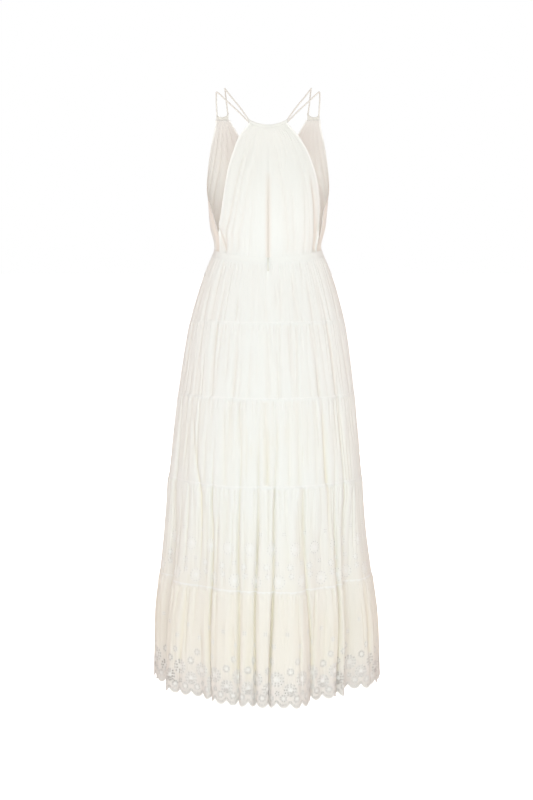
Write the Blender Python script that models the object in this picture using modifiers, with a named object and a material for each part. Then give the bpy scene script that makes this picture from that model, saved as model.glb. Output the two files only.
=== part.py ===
"""A sleeveless maxi dress, filled out: halter back, V-necked front, rouleau straps, five gathered tiers.

Metres, +Z up. The origin is midway between the shoulders, level with the tops of the inner straps.
The back of the dress faces -Y and the wearer's right is +X. A bearing is an angle round the dress in
degrees: 0 at centre back, 90 at the side on +X, 180 at centre front.
"""

import math

import bmesh
import bpy
from mathutils import Matrix, Vector

# Cloth and seams
CLOTH = 0.0012        # wall of a panel or a tier
BINDING = 0.0018      # wall of a bound or doubled edge
SEAM = 0.0003         # gap between two pieces that are sewn together
WELD = 0.00001        # points closer than this are one
SIDE_SEAM_TURN = 0.2  # degrees from a back panel's side edge to the front's: a seam's gap

# Waistband
WAIST_TOP = -0.376    # its top edge at centre front and at the sides
BAND_HEIGHT = 0.014
BACK_DIP = 0.013      # how much lower it sits at centre back
ZIP_GAP = 0.0050      # opening at centre back, where the zip's slider lies

# Skirt
HEM = -1.404
SCALLOP_DEPTH = 0.010

# Necks, straps and zip
BACK_NECK = -0.089    # top of the back neck binding at centre back
BACK_NECK_RISE = 0.0115
BACK_NECK_HALF = 0.042
BACK_BINDING_HEIGHT = 0.0085
PEAK_BOTTOM = -0.0710  # lower edge of a front peak's bound top
STRAP_DIAMETER = 0.003
SLIDER_WIDTH = 0.0042
SLIDER_HEIGHT = 0.0090
SLIDER_DEPTH = 0.0030
TAB_LENGTH = 0.0270
TAB_WIDTH = 0.0044
TAB_THICKNESS = 0.0010
TAB_LEAN = 10.0        # degrees from upright, so that the pull tab lies along the skirt's gathers
WIRE = 0.0010          # the slider's bridge, and the pull tab's bar

# Level sections of the dress: height, half width, half depth, squareness (2 is an ellipse)
SECTIONS = (
    (0.000, 0.1400, 0.0800, 2.50),
    (-0.060, 0.1410, 0.0880, 2.50),
    (-0.120, 0.1425, 0.0980, 2.40),
    (-0.200, 0.1435, 0.1050, 2.30),
    (-0.260, 0.1420, 0.1040, 2.30),
    (-0.320, 0.1370, 0.1000, 2.25),
    (-0.376, 0.1270, 0.0945, 2.20),
    (-0.404, 0.1390, 0.0965, 2.10),
    (-0.440, 0.1530, 0.1055, 2.05),
    (-0.540, 0.1805, 0.1410, 2.00),
    (-0.711, 0.2070, 0.1800, 2.00),
    (-0.910, 0.2290, 0.2100, 1.95),
    (-1.050, 0.2415, 0.2310, 1.90),
    (-1.145, 0.2530, 0.2450, 1.85),
    (-1.234, 0.2670, 0.2570, 1.80),
    (-1.404, 0.2720, 0.2680, 1.75),
)

# Skirt tiers: name, top, bottom, segments round
TIERS = (
    ("tier_1", None, -0.540, 96),
    ("tier_2", -0.540, -0.711, 96),
    ("tier_3", -0.711, -0.910, 120),
    ("tier_4", -0.910, -1.145, 144),
    ("tier_5", -1.145, HEM, 144),
)
TIER_ROWS = (0.0, 0.16, 1.0)   # shares of a tier's height where a tier has a row of points
PUFF = 0.0035                  # how far the gathers push a tier out just below its top seam

# Folds: height where one starts and where it is deepest, bearing at each, depth there, half width in
# degrees there. The folds at the back are the ones that show.
FOLDS = (
    (-0.400, -0.600, -56, -57, 0.005, 5.0),
    (-0.400, -0.600, -39, -41, 0.006, 4.0),
    (-0.400, -0.620, -21, -23, 0.003, 4.0),
    (-0.400, -0.620, 18, 17, 0.003, 4.0),
    (-0.400, -0.600, 34, 36, 0.005, 4.0),
    (-0.400, -0.600, 47, 51, 0.008, 4.5),
    (-0.400, -0.600, 68, 68, 0.005, 5.0),
    (-0.400, -0.600, -75, -76, 0.006, 5.0),
    (-0.700, -0.930, -60, -43, 0.010, 3.5),
    (-0.680, HEM, -73, -70, 0.034, 4.5),
    (-1.080, HEM, -48, -54, 0.010, 3.6),
    (-0.780, HEM, -35, -34, 0.026, 3.2),
    (-0.700, HEM, -17, -17.5, 0.020, 3.0),
    (-0.700, HEM, -4.6, -9.2, 0.024, 3.0),
    (-0.690, HEM, 5.8, 1.2, 0.020, 2.8),
    (-0.860, HEM, 19.5, 27, 0.026, 3.4),
    (-0.700, -0.900, 36, 38, 0.008, 4.0),
    (-0.860, HEM, 43.5, 43, 0.040, 3.6),
    (-0.600, HEM, 54, 49, 0.026, 3.2),
    (-1.100, HEM, 64, 69, 0.018, 3.6),
    (-0.700, HEM, 84, 80, 0.014, 4.0),
    (-0.680, HEM, 102, 98, 0.022, 4.0),
    (-0.720, HEM, 118, 112, 0.034, 4.5),
    (-0.700, HEM, 133, 130, 0.022, 4.0),
    (-0.900, HEM, 144, 143, 0.014, 3.0),
    (-0.700, HEM, 157, 155, 0.030, 4.0),
    (-0.720, HEM, 170, 172, 0.024, 3.4),
    (-0.900, HEM, 182, 183, 0.014, 3.0),
    (-0.700, HEM, 194, 197, 0.028, 3.8),
    (-0.720, HEM, 213, 214, 0.020, 4.0),
    (-0.690, HEM, 226, 230, 0.034, 4.6),
    (-0.900, HEM, 241, 245, 0.016, 3.4),
    (-0.700, HEM, 256, 260, 0.024, 4.0),
    (-0.720, HEM, 272, 276, 0.016, 4.4),
)

# Lobes between folds that stand out from the form, where the depth is negative, or lie back from it:
# the same columns
LOBES = (
    (-0.450, -1.020, -88, -88, -0.011, 15.0),
    (-0.600, -1.020, 86, 86, 0.006, 14.0),
    (-0.950, HEM, -57, -59, -0.012, 6.0),
    (-0.950, HEM, -71, -70, 0.030, 6.0),
    (-0.950, HEM, -41, -41, 0.020, 7.0),
    (-0.950, HEM, 14, 15, -0.016, 6.5),
    (-0.950, HEM, 32, 32, 0.028, 7.5),
    (-0.950, HEM, 54, 54, 0.056, 6.5),
    (-0.950, HEM, 125, 123, -0.012, 7.0),
    (-0.950, HEM, 163, 164, -0.010, 6.5),
    (-0.950, HEM, 205, 206, 0.014, 8.0),
    (-0.950, HEM, 236, 238, -0.012, 7.0),
)

# Where each armhole ends, at the top of the side seam
ARMHOLE_BOTTOM = {"left": -0.334, "right": -0.350}

# Back panel, from the waist up: height at its inner edge, height at its side edge, half width to the
# side edge on the left and on the right, half width of the centre slit. The second row ends at the
# bottom of the armhole.
BACK_ROWS = (
    (None, None, 0.1110, 0.1130, 0.0014),
    (-0.352, None, 0.1165, 0.1200, 0.0024),
    (-0.310, -0.300, 0.1105, 0.1215, 0.0026),
    (-0.262, -0.255, 0.1035, 0.1195, 0.0025),
    (-0.218, -0.212, 0.0965, 0.1125, 0.0018),
    (-0.187, -0.180, 0.0895, 0.1030, SEAM / 2),
    (-0.150, -0.146, 0.0785, 0.0890, SEAM / 2),
    (-0.120, -0.114, 0.0655, 0.0690, SEAM / 2),
    (None, None, 0.0440, 0.0440, SEAM / 2),
)
BACK_COLUMNS = 12

# Soft folds of the back panel: share of the half panel from centre to side, depth, half width
BACK_FOLDS = (
    (0.22, 0.0022, 0.08),
    (0.42, 0.0030, 0.08),
    (0.62, 0.0034, 0.09),
    (0.82, 0.0026, 0.08),
)

# Front panel, from the waist up: half width of the V, height at the V or at centre front, bearing of
# the outer edge, its height. The lowest two rows end at the side seam.
FRONT_ROWS = (
    (0.0000, None, None, None),
    (0.0000, -0.320, None, None),
    (0.0000, -0.254, 66.0, -0.288),
    (0.0000, -0.172, 84.0, -0.246),
    (0.0290, -0.162, 100.0, -0.190),
    (0.0520, -0.138, 111.0, -0.134),
    (0.0700, -0.105, 118.5, -0.098),
    (0.0900, None, 122.0, None),
)
FRONT_COLUMNS = 14

# Soft folds of the front panel, as shares from the inner to the outer edge
FRONT_FOLDS = (
    (0.16, 0.0024, 0.07),
    (0.33, 0.0030, 0.07),
    (0.52, 0.0034, 0.08),
    (0.72, 0.0030, 0.08),
)

# A front peak's bound top, from its inner to its outer corner: half width, height of the top edge
PEAK_TOP = (
    (0.0935, -0.0525),
    (0.1000, -0.0600),
    (0.1085, -0.0632),
    (0.1165, -0.0622),
    (0.1215, -0.0570),
)

# Straps, from the front peak over the shoulder to the back neck: the points they pass
STRAPS = {
    "inner": (
        (0.0955, 0.0710, -0.0500),
        (0.0985, 0.0420, -0.0255),
        (0.1000, 0.0110, -0.0045),
        (0.1003, 0.0020, -0.0018),
        (0.0995, -0.0050, -0.0030),
        (0.0860, -0.0250, -0.0210),
        (0.0640, -0.0560, -0.0490),
        (0.0452, -0.0835, -0.0755),
    ),
    "outer": (
        (0.1205, 0.0565, -0.0545),
        (0.1215, 0.0360, -0.0330),
        (0.1210, 0.0100, -0.0125),
        (0.1195, 0.0010, -0.0100),
        (0.1160, -0.0060, -0.0115),
        (0.0950, -0.0300, -0.0320),
        (0.0680, -0.0590, -0.0580),
        (0.0460, -0.0830, -0.0805),
    ),
}
STRAP_POINTS = 20

# Finishes: colour, roughness, metallic
IVORY = ((0.92, 0.90, 0.84), 0.85, 0.0)
IVORY_BAND = ((0.90, 0.88, 0.82), 0.80, 0.0)
ENAMEL = ((0.82, 0.78, 0.70), 0.35, 0.3)


def clear_scene():
    for item in list(bpy.data.objects):
        bpy.data.objects.remove(item, do_unlink=True)


def new_material(name, finish):
    colour, roughness, metallic = finish
    material = bpy.data.materials.new(name)
    material.use_nodes = True
    shader = material.node_tree.nodes["Principled BSDF"]
    shader.inputs["Base Color"].default_value = (*colour, 1.0)
    shader.inputs["Roughness"].default_value = roughness
    shader.inputs["Metallic"].default_value = metallic
    return material


def between(low, high, share):
    return low + (high - low) * share


def through(points, share):
    """A point at a share of the way along a smooth curve through the points."""
    count = len(points) - 1
    place = min(max(share, 0.0), 1.0) * count
    index = min(int(place), count - 1)
    t = place - index
    before = points[max(index - 1, 0)]
    here = points[index]
    after = points[index + 1]
    beyond = points[min(index + 2, count)]
    return [
        0.5 * (2 * b + (c - a) * t + (2 * a - 5 * b + 4 * c - d) * t * t + (3 * b - a - 3 * c + d) * t ** 3)
        for a, b, c, d in zip(before, here, after, beyond)
    ]


def section(height):
    """Half width, half depth and squareness of the level section at a height."""
    heights = [row[0] for row in SECTIONS]
    height = min(max(height, heights[-1]), heights[0])
    index = max(i for i in range(len(heights) - 1) if heights[i] >= height)
    share = (heights[index] - height) / (heights[index] - heights[index + 1])
    rows = [SECTIONS[max(index - 1, 0)], SECTIONS[index], SECTIONS[index + 1],
            SECTIONS[min(index + 2, len(SECTIONS) - 1)]]
    values = []
    for column in (1, 2, 3):
        steps = [rows[i + 1][column] - rows[i][column] for i in range(3)]
        gaps = [max(rows[i][0] - rows[i + 1][0], 1e-6) for i in range(3)]
        span = gaps[1]
        start = 0.5 * (steps[0] / gaps[0] + steps[1] / span) if index > 0 else steps[1] / span
        end = 0.5 * (steps[1] / span + steps[2] / gaps[2]) if index + 2 < len(SECTIONS) else steps[1] / span
        t = share
        values.append(rows[1][column] * (2 * t ** 3 - 3 * t ** 2 + 1)
                      + start * span * (t ** 3 - 2 * t ** 2 + t)
                      + rows[2][column] * (3 * t ** 2 - 2 * t ** 3)
                      + end * span * (t ** 3 - t ** 2))
    return values


def form(bearing, height, out=0.0):
    """The point of the dress's own form at a bearing and height, moved outwards by out."""
    half_width, half_depth, squareness = section(height)
    sine = math.sin(math.radians(bearing))
    cosine = math.cos(math.radians(bearing))
    power = 2.0 / squareness
    return Vector((
        math.copysign(abs(sine) ** power, sine) * (half_width + out),
        -math.copysign(abs(cosine) ** power, cosine) * (half_depth + out),
        height,
    ))


def bearing_at(x, height):
    """The bearing, on the back, where the form is x away from the middle."""
    half_width, _, squareness = section(height)
    return math.degrees(math.asin(min(x / half_width, 1.0) ** (squareness / 2.0)))


def waist_edge(bearing):
    """Height of the waistband's top edge."""
    return WAIST_TOP - BACK_DIP * max(math.cos(math.radians(bearing)), 0.0) ** 2


def fold_depth(bearing, height):
    """How far the skirt's folds and lobes move its wall inwards."""
    depth = 0.0
    for start, deepest, bearing_start, bearing_deep, most, half_width in FOLDS + LOBES:
        share = (start - height) / (start - deepest)
        if share <= 0.0:
            continue
        if share > 1.0:
            fade = max(1.0 - (share - 1.0), 0.0)
            share = 1.0
        else:
            fade = 1.0
        centre = between(bearing_start, bearing_deep, share)
        away = (bearing - centre + 180.0) % 360.0 - 180.0
        depth += most * share ** 0.8 * fade * math.exp(-(away / half_width) ** 2)
    return depth


def skirt(bearing, height, puff=0.0):
    return form(bearing, height, puff - fold_depth(bearing, height))


def sheet(name, columns, rows, place, wall, material, closed=False):
    """A cloth wall over a grid whose points place(across, up) gives, both from 0 to 1."""
    shape = bmesh.new()
    bmesh.ops.create_grid(shape, x_segments=columns, y_segments=rows, size=0.5)
    for vertex in shape.verts:
        vertex.co = place(vertex.co.x + 0.5, vertex.co.y + 0.5)
    if closed:
        bmesh.ops.remove_doubles(shape, verts=shape.verts, dist=WELD)
    return finish_sheet(name, shape, wall, material)


def finish_sheet(name, shape, wall, material):
    mesh = bpy.data.meshes.new(name)
    shape.to_mesh(mesh)
    shape.free()
    mesh.shade_smooth()
    mesh.materials.append(material)
    panel = bpy.data.objects.new(name, mesh)
    thicken = panel.modifiers.new("Wall", "SOLIDIFY")
    thicken.thickness = wall
    thicken.offset = 0.0
    return panel


def fold_in_panel(share, folds, strength):
    return strength * sum(depth * math.exp(-((share - centre) / half_width) ** 2)
                          for centre, depth, half_width in folds)


def make_tier(name, top, bottom, segments, material):
    """One gathered ring of the skirt, sewn edge to edge to the one above."""
    rows = len(TIER_ROWS) - 1

    def place(across, up):
        bearing = 360.0 * across
        row = round((1.0 - up) * rows)
        if top is None:
            start = waist_edge(bearing) - BAND_HEIGHT - SEAM
        else:
            start = top - SEAM / 2.0
        last = bottom + SEAM / 2.0 if bottom > HEM else bottom
        height = between(start, last, TIER_ROWS[row])
        if bottom == HEM and row == rows and round(across * segments) % 2:
            height += SCALLOP_DEPTH
        return skirt(bearing, height, PUFF if row == 1 and top is not None else 0.0)

    return sheet(name, segments, rows, place, CLOTH, material, closed=True)


def make_waistband(material):
    gap = bearing_at(ZIP_GAP / 2.0, WAIST_TOP)

    def place(across, up):
        bearing = between(gap, 360.0 - gap, across)
        return form(bearing, waist_edge(bearing) - BAND_HEIGHT * (1.0 - up))

    return sheet("waistband", 64, 1, place, BINDING, material)


def back_row(row, side_name):
    """Inner and outer edge of one row of a back panel: bearing and height of each."""
    inner_height, outer_height, left_half, right_half, slit_half = BACK_ROWS[row]
    outer_half = left_half if side_name == "left" else right_half
    if row == 0:
        inner_height = waist_edge(0.0) + SEAM
        outer_height = waist_edge(bearing_at(outer_half, WAIST_TOP)) + SEAM
    elif row == 1:
        outer_height = ARMHOLE_BOTTOM[side_name]
    elif row == len(BACK_ROWS) - 1:
        inner_height = BACK_NECK - BACK_BINDING_HEIGHT - SEAM
        outer_height = inner_height + BACK_NECK_RISE
    return bearing_at(slit_half, inner_height), inner_height, bearing_at(outer_half, outer_height), outer_height


def make_back(side_name, side, material):
    rows = len(BACK_ROWS) - 1

    def place(across, up):
        row = round(up * rows)
        inner, inner_height, outer, outer_height = back_row(row, side_name)
        bearing = between(inner, outer, across)
        if row == 0:
            height = waist_edge(bearing) + SEAM
        elif row == rows:
            height = between(inner_height, outer_height, across ** 2)
        else:
            height = between(inner_height, outer_height, across)
        strength = math.sin(math.pi * min(max(up, 0.12), 0.88))
        point = form(bearing, height, -fold_in_panel(across, BACK_FOLDS, strength))
        return Vector((side * point.x, point.y, point.z))

    return sheet("bodice_back_" + side_name, BACK_COLUMNS, rows, place, CLOTH, material)


def front_row(row, side_name):
    """Inner edge and outer edge of one row of the front panel: bearing and height of each."""
    v_half, inner_height, outer, outer_height = FRONT_ROWS[row]
    if row <= 1:
        _, _, seam, outer_height = back_row(row, side_name)
        outer = seam + SIDE_SEAM_TURN
    if row == 0:
        inner_height = waist_edge(180.0) + SEAM
    elif row == len(FRONT_ROWS) - 1:
        inner_height = PEAK_BOTTOM - SEAM
        outer_height = PEAK_BOTTOM - SEAM
    return 180.0 - bearing_at(v_half, inner_height), inner_height, outer, outer_height


def front_point(across, up, side_name):
    rows = len(FRONT_ROWS) - 1
    row = round(up * rows)
    inner, inner_height, outer, outer_height = front_row(row, side_name)
    bearing = between(inner, outer, across)
    if row == 0:
        height = waist_edge(bearing) + SEAM
    else:
        height = between(inner_height, outer_height, across)
    strength = math.sin(math.pi * min(max(up, 0.1), 0.9))
    point = form(bearing, height, -fold_in_panel(across, FRONT_FOLDS, strength))
    return point


def make_front(material):
    """The front panel: two halves of one grid, welded down centre front below the V."""
    shape = bmesh.new()
    rows = len(FRONT_ROWS) - 1
    for side_name, side in (("left", -1.0), ("right", 1.0)):
        made = bmesh.ops.create_grid(shape, x_segments=FRONT_COLUMNS, y_segments=rows, size=0.5)
        for vertex in made["verts"]:
            point = front_point(vertex.co.x + 0.5, vertex.co.y + 0.5, side_name)
            vertex.co = Vector((side * point.x, point.y, point.z))
    bmesh.ops.remove_doubles(shape, verts=shape.verts, dist=WELD)
    bmesh.ops.recalc_face_normals(shape, faces=shape.faces)
    return finish_sheet("bodice_front", shape, CLOTH, material)


def make_front_band(name, side, material):
    """The bound top of a front peak: hollow between its two corners, where the straps start."""
    columns = len(PEAK_TOP) - 1

    def place(across, up):
        x, top = PEAK_TOP[round(across * columns)]
        height = between(PEAK_BOTTOM, top, up)
        bearing = 180.0 - bearing_at(x, PEAK_BOTTOM)
        point = form(bearing, height)
        return Vector((side * point.x, point.y, point.z))

    return sheet(name, columns, 1, place, BINDING, material)


def neck_height(x):
    return BACK_NECK + BACK_NECK_RISE * (x / BACK_NECK_HALF) ** 2


def make_back_binding(material):
    def place(across, up):
        x = between(-BACK_NECK_HALF, BACK_NECK_HALF, across)
        height = neck_height(x) - BACK_BINDING_HEIGHT * (1.0 - up)
        return form(math.copysign(bearing_at(abs(x), height), x), height)

    return sheet("back_neck_binding", 16, 1, place, BINDING, material)


def make_strap(name, side, points, material):
    curve = bpy.data.curves.new(name, "CURVE")
    curve.dimensions = "3D"
    curve.bevel_depth = STRAP_DIAMETER / 2.0
    curve.bevel_resolution = 2
    curve.use_fill_caps = True
    curve.materials.append(material)
    line = curve.splines.new("POLY")
    line.points.add(STRAP_POINTS - 1)
    for index, point in enumerate(line.points):
        x, y, z = through(points, index / (STRAP_POINTS - 1))
        point.co = (side * x, y, z, 1.0)
    return bpy.data.objects.new(name, curve)


def slider_face():
    """Where the slider's outer face is, and the height of its middle."""
    height = waist_edge(0.0) - BAND_HEIGHT / 2.0
    return form(0.0, height).y - BINDING / 2.0 - 0.0012, height


def make_slider(material):
    """The slider's body with the bridge that its pull tab swings on."""
    face, height = slider_face()
    shape = bmesh.new()
    bmesh.ops.create_cube(shape, size=1.0)
    for vertex in shape.verts:
        taper = 1.0 if vertex.co.z > 0 else 0.72
        vertex.co = Vector((vertex.co.x * SLIDER_WIDTH * taper,
                            face + SLIDER_DEPTH * (vertex.co.y + 0.5),
                            height + vertex.co.z * SLIDER_HEIGHT))
    mesh = bpy.data.meshes.new("zip_slider")
    shape.to_mesh(mesh)
    shape.free()
    mesh.materials.append(material)
    body = bpy.data.objects.new("zip_slider", mesh)
    bevel = body.modifiers.new("Soft edges", "BEVEL")
    bevel.width = 0.0006
    bevel.segments = 2
    return body


def bridge_points():
    """The bridge's run: out of the slider's face, down past the pull tab's bar, and back in."""
    face, height = slider_face()
    reach = 2.6 * WIRE
    half = 2.2 * WIRE
    inside = face + 0.8 * WIRE
    corner = 0.9 * WIRE
    return (
        (inside, height + half),
        (face - reach + corner, height + half),
        (face - reach, height + half - corner),
        (face - reach, height - half + corner),
        (face - reach + corner, height - half),
        (inside, height - half),
    )


def hinge_point():
    """The pull tab's bar, midway between the slider's face and its bridge."""
    face, height = slider_face()
    return Vector((0.0, face - 1.05 * WIRE, height))


def solid_from_curve(name, points, radius, cyclic=False):
    """A closed mesh tube through the points, its caps welded."""
    curve = bpy.data.curves.new(name, "CURVE")
    curve.dimensions = "3D"
    curve.bevel_depth = radius
    curve.bevel_resolution = 2
    curve.use_fill_caps = not cyclic
    line = curve.splines.new("POLY")
    line.use_cyclic_u = cyclic
    line.points.add(len(points) - 1)
    for point, place in zip(line.points, points):
        point.co = (*place, 1.0)
    guide = bpy.data.objects.new(name, curve)
    bpy.context.scene.collection.objects.link(guide)
    graph = bpy.context.evaluated_depsgraph_get()
    mesh = bpy.data.meshes.new_from_object(guide.evaluated_get(graph))
    bpy.data.objects.remove(guide, do_unlink=True)
    shape = bmesh.new()
    shape.from_mesh(mesh)
    bmesh.ops.remove_doubles(shape, verts=shape.verts, dist=WELD)
    bmesh.ops.recalc_face_normals(shape, faces=shape.faces)
    shape.to_mesh(mesh)
    shape.free()
    return bpy.data.objects.new(name, mesh)


def join(target, tool, cutters, operation="UNION"):
    """Join or cut the target with a guide object that is kept out of the model."""
    tool.hide_render = True
    tool.display_type = "WIRE"
    cutters.objects.link(tool)
    boolean = target.modifiers.new(operation.title(), "BOOLEAN")
    boolean.operation = operation
    boolean.object = tool
    boolean.solver = "EXACT"


def make_pull_tab(material):
    """A flat teardrop with an eye at its top; the eye's upper side is the bar in the bridge."""
    pivot = hinge_point()
    bar = TAB_THICKNESS / 2.0
    eye_half = 1.25 * WIRE
    eye_low = -4.2 * WIRE
    shape = bmesh.new()
    outline = []
    steps = 10
    for step in range(steps + 1):
        turn = math.pi * step / steps
        outline.append((TAB_WIDTH / 2.0 * math.cos(turn), -TAB_LENGTH + TAB_WIDTH / 2.0
                        - TAB_WIDTH / 2.0 * math.sin(turn)))
    narrow = TAB_WIDTH * 0.42
    outline += [(-narrow, eye_low - WIRE), (-narrow, bar), (narrow, bar), (narrow, eye_low - WIRE)]
    ring = [shape.verts.new((x, pivot.y - bar, pivot.z + z)) for x, z in outline]
    face = shape.faces.new(ring)
    pushed = bmesh.ops.extrude_face_region(shape, geom=[face])
    for item in pushed["geom"]:
        if isinstance(item, bmesh.types.BMVert):
            item.co.y += TAB_THICKNESS
    bmesh.ops.recalc_face_normals(shape, faces=shape.faces)
    mesh = bpy.data.meshes.new("zip_pull_tab")
    shape.to_mesh(mesh)
    shape.free()
    mesh.materials.append(material)
    tab = bpy.data.objects.new("zip_pull_tab", mesh)
    hole = bmesh.new()
    bmesh.ops.create_cube(hole, size=1.0)
    top = -bar
    for vertex in hole.verts:
        vertex.co = Vector((vertex.co.x * 2.0 * eye_half,
                            pivot.y + vertex.co.y * 4.0 * TAB_THICKNESS,
                            pivot.z + between(eye_low, top, vertex.co.z + 0.5)))
    hole_mesh = bpy.data.meshes.new("eye_cutter")
    hole.to_mesh(hole_mesh)
    hole.free()
    eye = bpy.data.objects.new("eye_cutter", hole_mesh)
    lean = Matrix.Translation(pivot) @ Matrix.Rotation(-math.radians(TAB_LEAN), 4, "X")
    for item in (tab, eye):
        item.data.transform(Matrix.Translation(-pivot))
        item.matrix_world = lean
    return tab, eye


def main():
    clear_scene()
    dress = bpy.data.collections.new("tiered_maxi_dress")
    cutters = bpy.data.collections.new("cutters")
    bpy.context.scene.collection.children.link(dress)
    bpy.context.scene.collection.children.link(cutters)

    cloth = new_material("ivory_voile", IVORY)
    binding = new_material("ivory_binding", IVORY_BAND)
    metal = new_material("enamelled_zip", ENAMEL)

    for name, top, bottom, segments in TIERS:
        dress.objects.link(make_tier(name, top, bottom, segments, cloth))
    dress.objects.link(make_waistband(binding))
    dress.objects.link(make_front(cloth))
    dress.objects.link(make_back_binding(binding))
    for side_name, side in (("left", -1.0), ("right", 1.0)):
        dress.objects.link(make_back(side_name, side, cloth))
        dress.objects.link(make_front_band("front_band_" + side_name, side, binding))
        for strap, points in STRAPS.items():
            dress.objects.link(make_strap(f"strap_{side_name}_{strap}", side, points, binding))

    slider = make_slider(metal)
    dress.objects.link(slider)
    bridge = solid_from_curve("bridge_guide", [(0.0, y, z) for y, z in bridge_points()], WIRE / 2.0)
    join(slider, bridge, cutters)
    tab, eye = make_pull_tab(metal)
    dress.objects.link(tab)
    join(tab, eye, cutters, "DIFFERENCE")


main()
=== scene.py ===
"""Looks of a tiered maxi dress in ivory cotton voile with a broderie hem, laid out as a Blender add-on.

Metres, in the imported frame: +Z up, the origin between the shoulders, the back of the dress facing -Y and
the wearer's right towards +X. A bearing is an angle round the dress in degrees: 0 at centre back, 90 at
the side on +X, 180 at centre front. Cloth coordinates are metres of cloth, across and up from a piece's
lower edge.
"""

import math
from collections import namedtuple
from functools import reduce

import bmesh
import bpy
import numpy as np
from mathutils import Euler, Matrix, Vector


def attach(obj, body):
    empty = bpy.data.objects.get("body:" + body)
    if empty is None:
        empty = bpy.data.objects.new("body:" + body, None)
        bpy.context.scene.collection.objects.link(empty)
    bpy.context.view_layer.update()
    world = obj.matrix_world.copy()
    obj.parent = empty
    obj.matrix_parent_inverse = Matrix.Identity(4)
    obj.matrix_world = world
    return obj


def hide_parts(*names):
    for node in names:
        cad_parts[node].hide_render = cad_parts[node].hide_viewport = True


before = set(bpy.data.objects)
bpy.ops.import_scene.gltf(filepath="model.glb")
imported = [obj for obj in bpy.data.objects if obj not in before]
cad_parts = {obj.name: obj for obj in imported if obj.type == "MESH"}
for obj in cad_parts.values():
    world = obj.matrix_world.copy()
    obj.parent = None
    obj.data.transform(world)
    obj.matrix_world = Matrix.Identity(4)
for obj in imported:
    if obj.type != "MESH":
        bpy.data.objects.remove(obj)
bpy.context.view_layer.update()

bl_info = {
    "name": "Tiered maxi dress",
    "version": (1, 0, 0),
    "blender": (4, 5, 0),
    "location": "View3D > Sidebar > Dress",
    "description": "Builds a halter-backed maxi dress with gathered tiers and a broderie hem",
    "category": "Add Mesh",
}

CLOTH_MAP = "Cloth"   # the UV map that holds cloth coordinates in metres
WELD = 0.00001        # points closer than this are one
EDGE_SHARE = 0.004    # share of a piece in its outermost rows and columns, narrow to keep edges crisp
SEAM = 0.0003         # gap between two pieces of the part that are sewn together

# Waistband and hem of the part
WAIST_TOP = -0.376
BAND_HEIGHT = 0.014
BACK_DIP = 0.013
ZIP_GAP = 0.0050
HEM = -1.404

# Necks of the part
BACK_NECK = -0.089
BACK_NECK_RISE = 0.0115
BACK_NECK_HALF = 0.042
BACK_BINDING_HEIGHT = 0.0085
PEAK_BOTTOM = -0.0710

# Level sections of the dress: height, half width, half depth, squareness (2 is an ellipse)
SECTIONS = (
    (0.000, 0.1400, 0.0800, 2.50),
    (-0.060, 0.1410, 0.0880, 2.50),
    (-0.120, 0.1425, 0.0980, 2.40),
    (-0.200, 0.1435, 0.1050, 2.30),
    (-0.260, 0.1420, 0.1040, 2.30),
    (-0.320, 0.1370, 0.1000, 2.25),
    (-0.376, 0.1270, 0.0945, 2.20),
    (-0.404, 0.1390, 0.0965, 2.10),
    (-0.440, 0.1530, 0.1055, 2.05),
    (-0.540, 0.1805, 0.1410, 2.00),
    (-0.711, 0.2070, 0.1800, 2.00),
    (-0.910, 0.2290, 0.2100, 1.95),
    (-1.050, 0.2415, 0.2310, 1.90),
    (-1.145, 0.2530, 0.2450, 1.85),
    (-1.234, 0.2670, 0.2570, 1.80),
    (-1.404, 0.2720, 0.2680, 1.75),
)

# Gathers drawn up along an edge: the seed of their unevenness, their spacing and depth, and how far they
# spread from the edge
Gathers = namedtuple("Gathers", "seed spacing depth reach")
ABOVE_WAISTBAND = Gathers(29, 0.0050, 0.0007, 0.05)
BACK_AT_NECK = Gathers(11, 0.0040, 0.0012, 0.06)
BACK_AT_WAIST = Gathers(21, 0.0042, 0.0013, 0.05)
FRONT_AT_WAIST = Gathers(31, 0.0044, 0.0012, 0.05)
FRONT_AT_PEAK = Gathers(35, 0.0140, 0.0013, 0.10)
IN_NECK_BINDING = Gathers(51, 0.0042, 0.0010, 0.05)
IN_PEAK_BAND = Gathers(55, 0.0034, 0.0013, 0.05)

# Skirt tiers: puff is how far the cloth stands out below the top seam, long_depth is its long creases',
# and full_mark is the depth of gather at which its painted shade is full
Tier = namedtuple("Tier", "name top bottom columns rows puff gathers long_depth full_mark")
TIERS = (
    Tier("tier_1", None, -0.540, 900, 22, 0.0000, Gathers(40, 0.0062, 0.0026, 0.060), 0.0030, 0.0105),
    Tier("tier_2", -0.540, -0.711, 960, 22, 0.0009, Gathers(41, 0.0066, 0.0028, 0.060), 0.0032, 0.0105),
    Tier("tier_3", -0.711, -0.910, 1000, 26, 0.0014, Gathers(42, 0.0072, 0.0032, 0.065), 0.0036, 0.011),
    Tier("tier_4", -0.910, -1.145, 1060, 32, 0.0019, Gathers(43, 0.0078, 0.0036, 0.070), 0.0040, 0.018),
    Tier("tier_5", -1.145, HEM, 1065, 40, 0.0026, Gathers(44, 0.0084, 0.0038, 0.070), 0.0042, 0.018),
)
BRODERIE_FROM = 3   # the first tier worked with broderie, counted from 0

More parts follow.
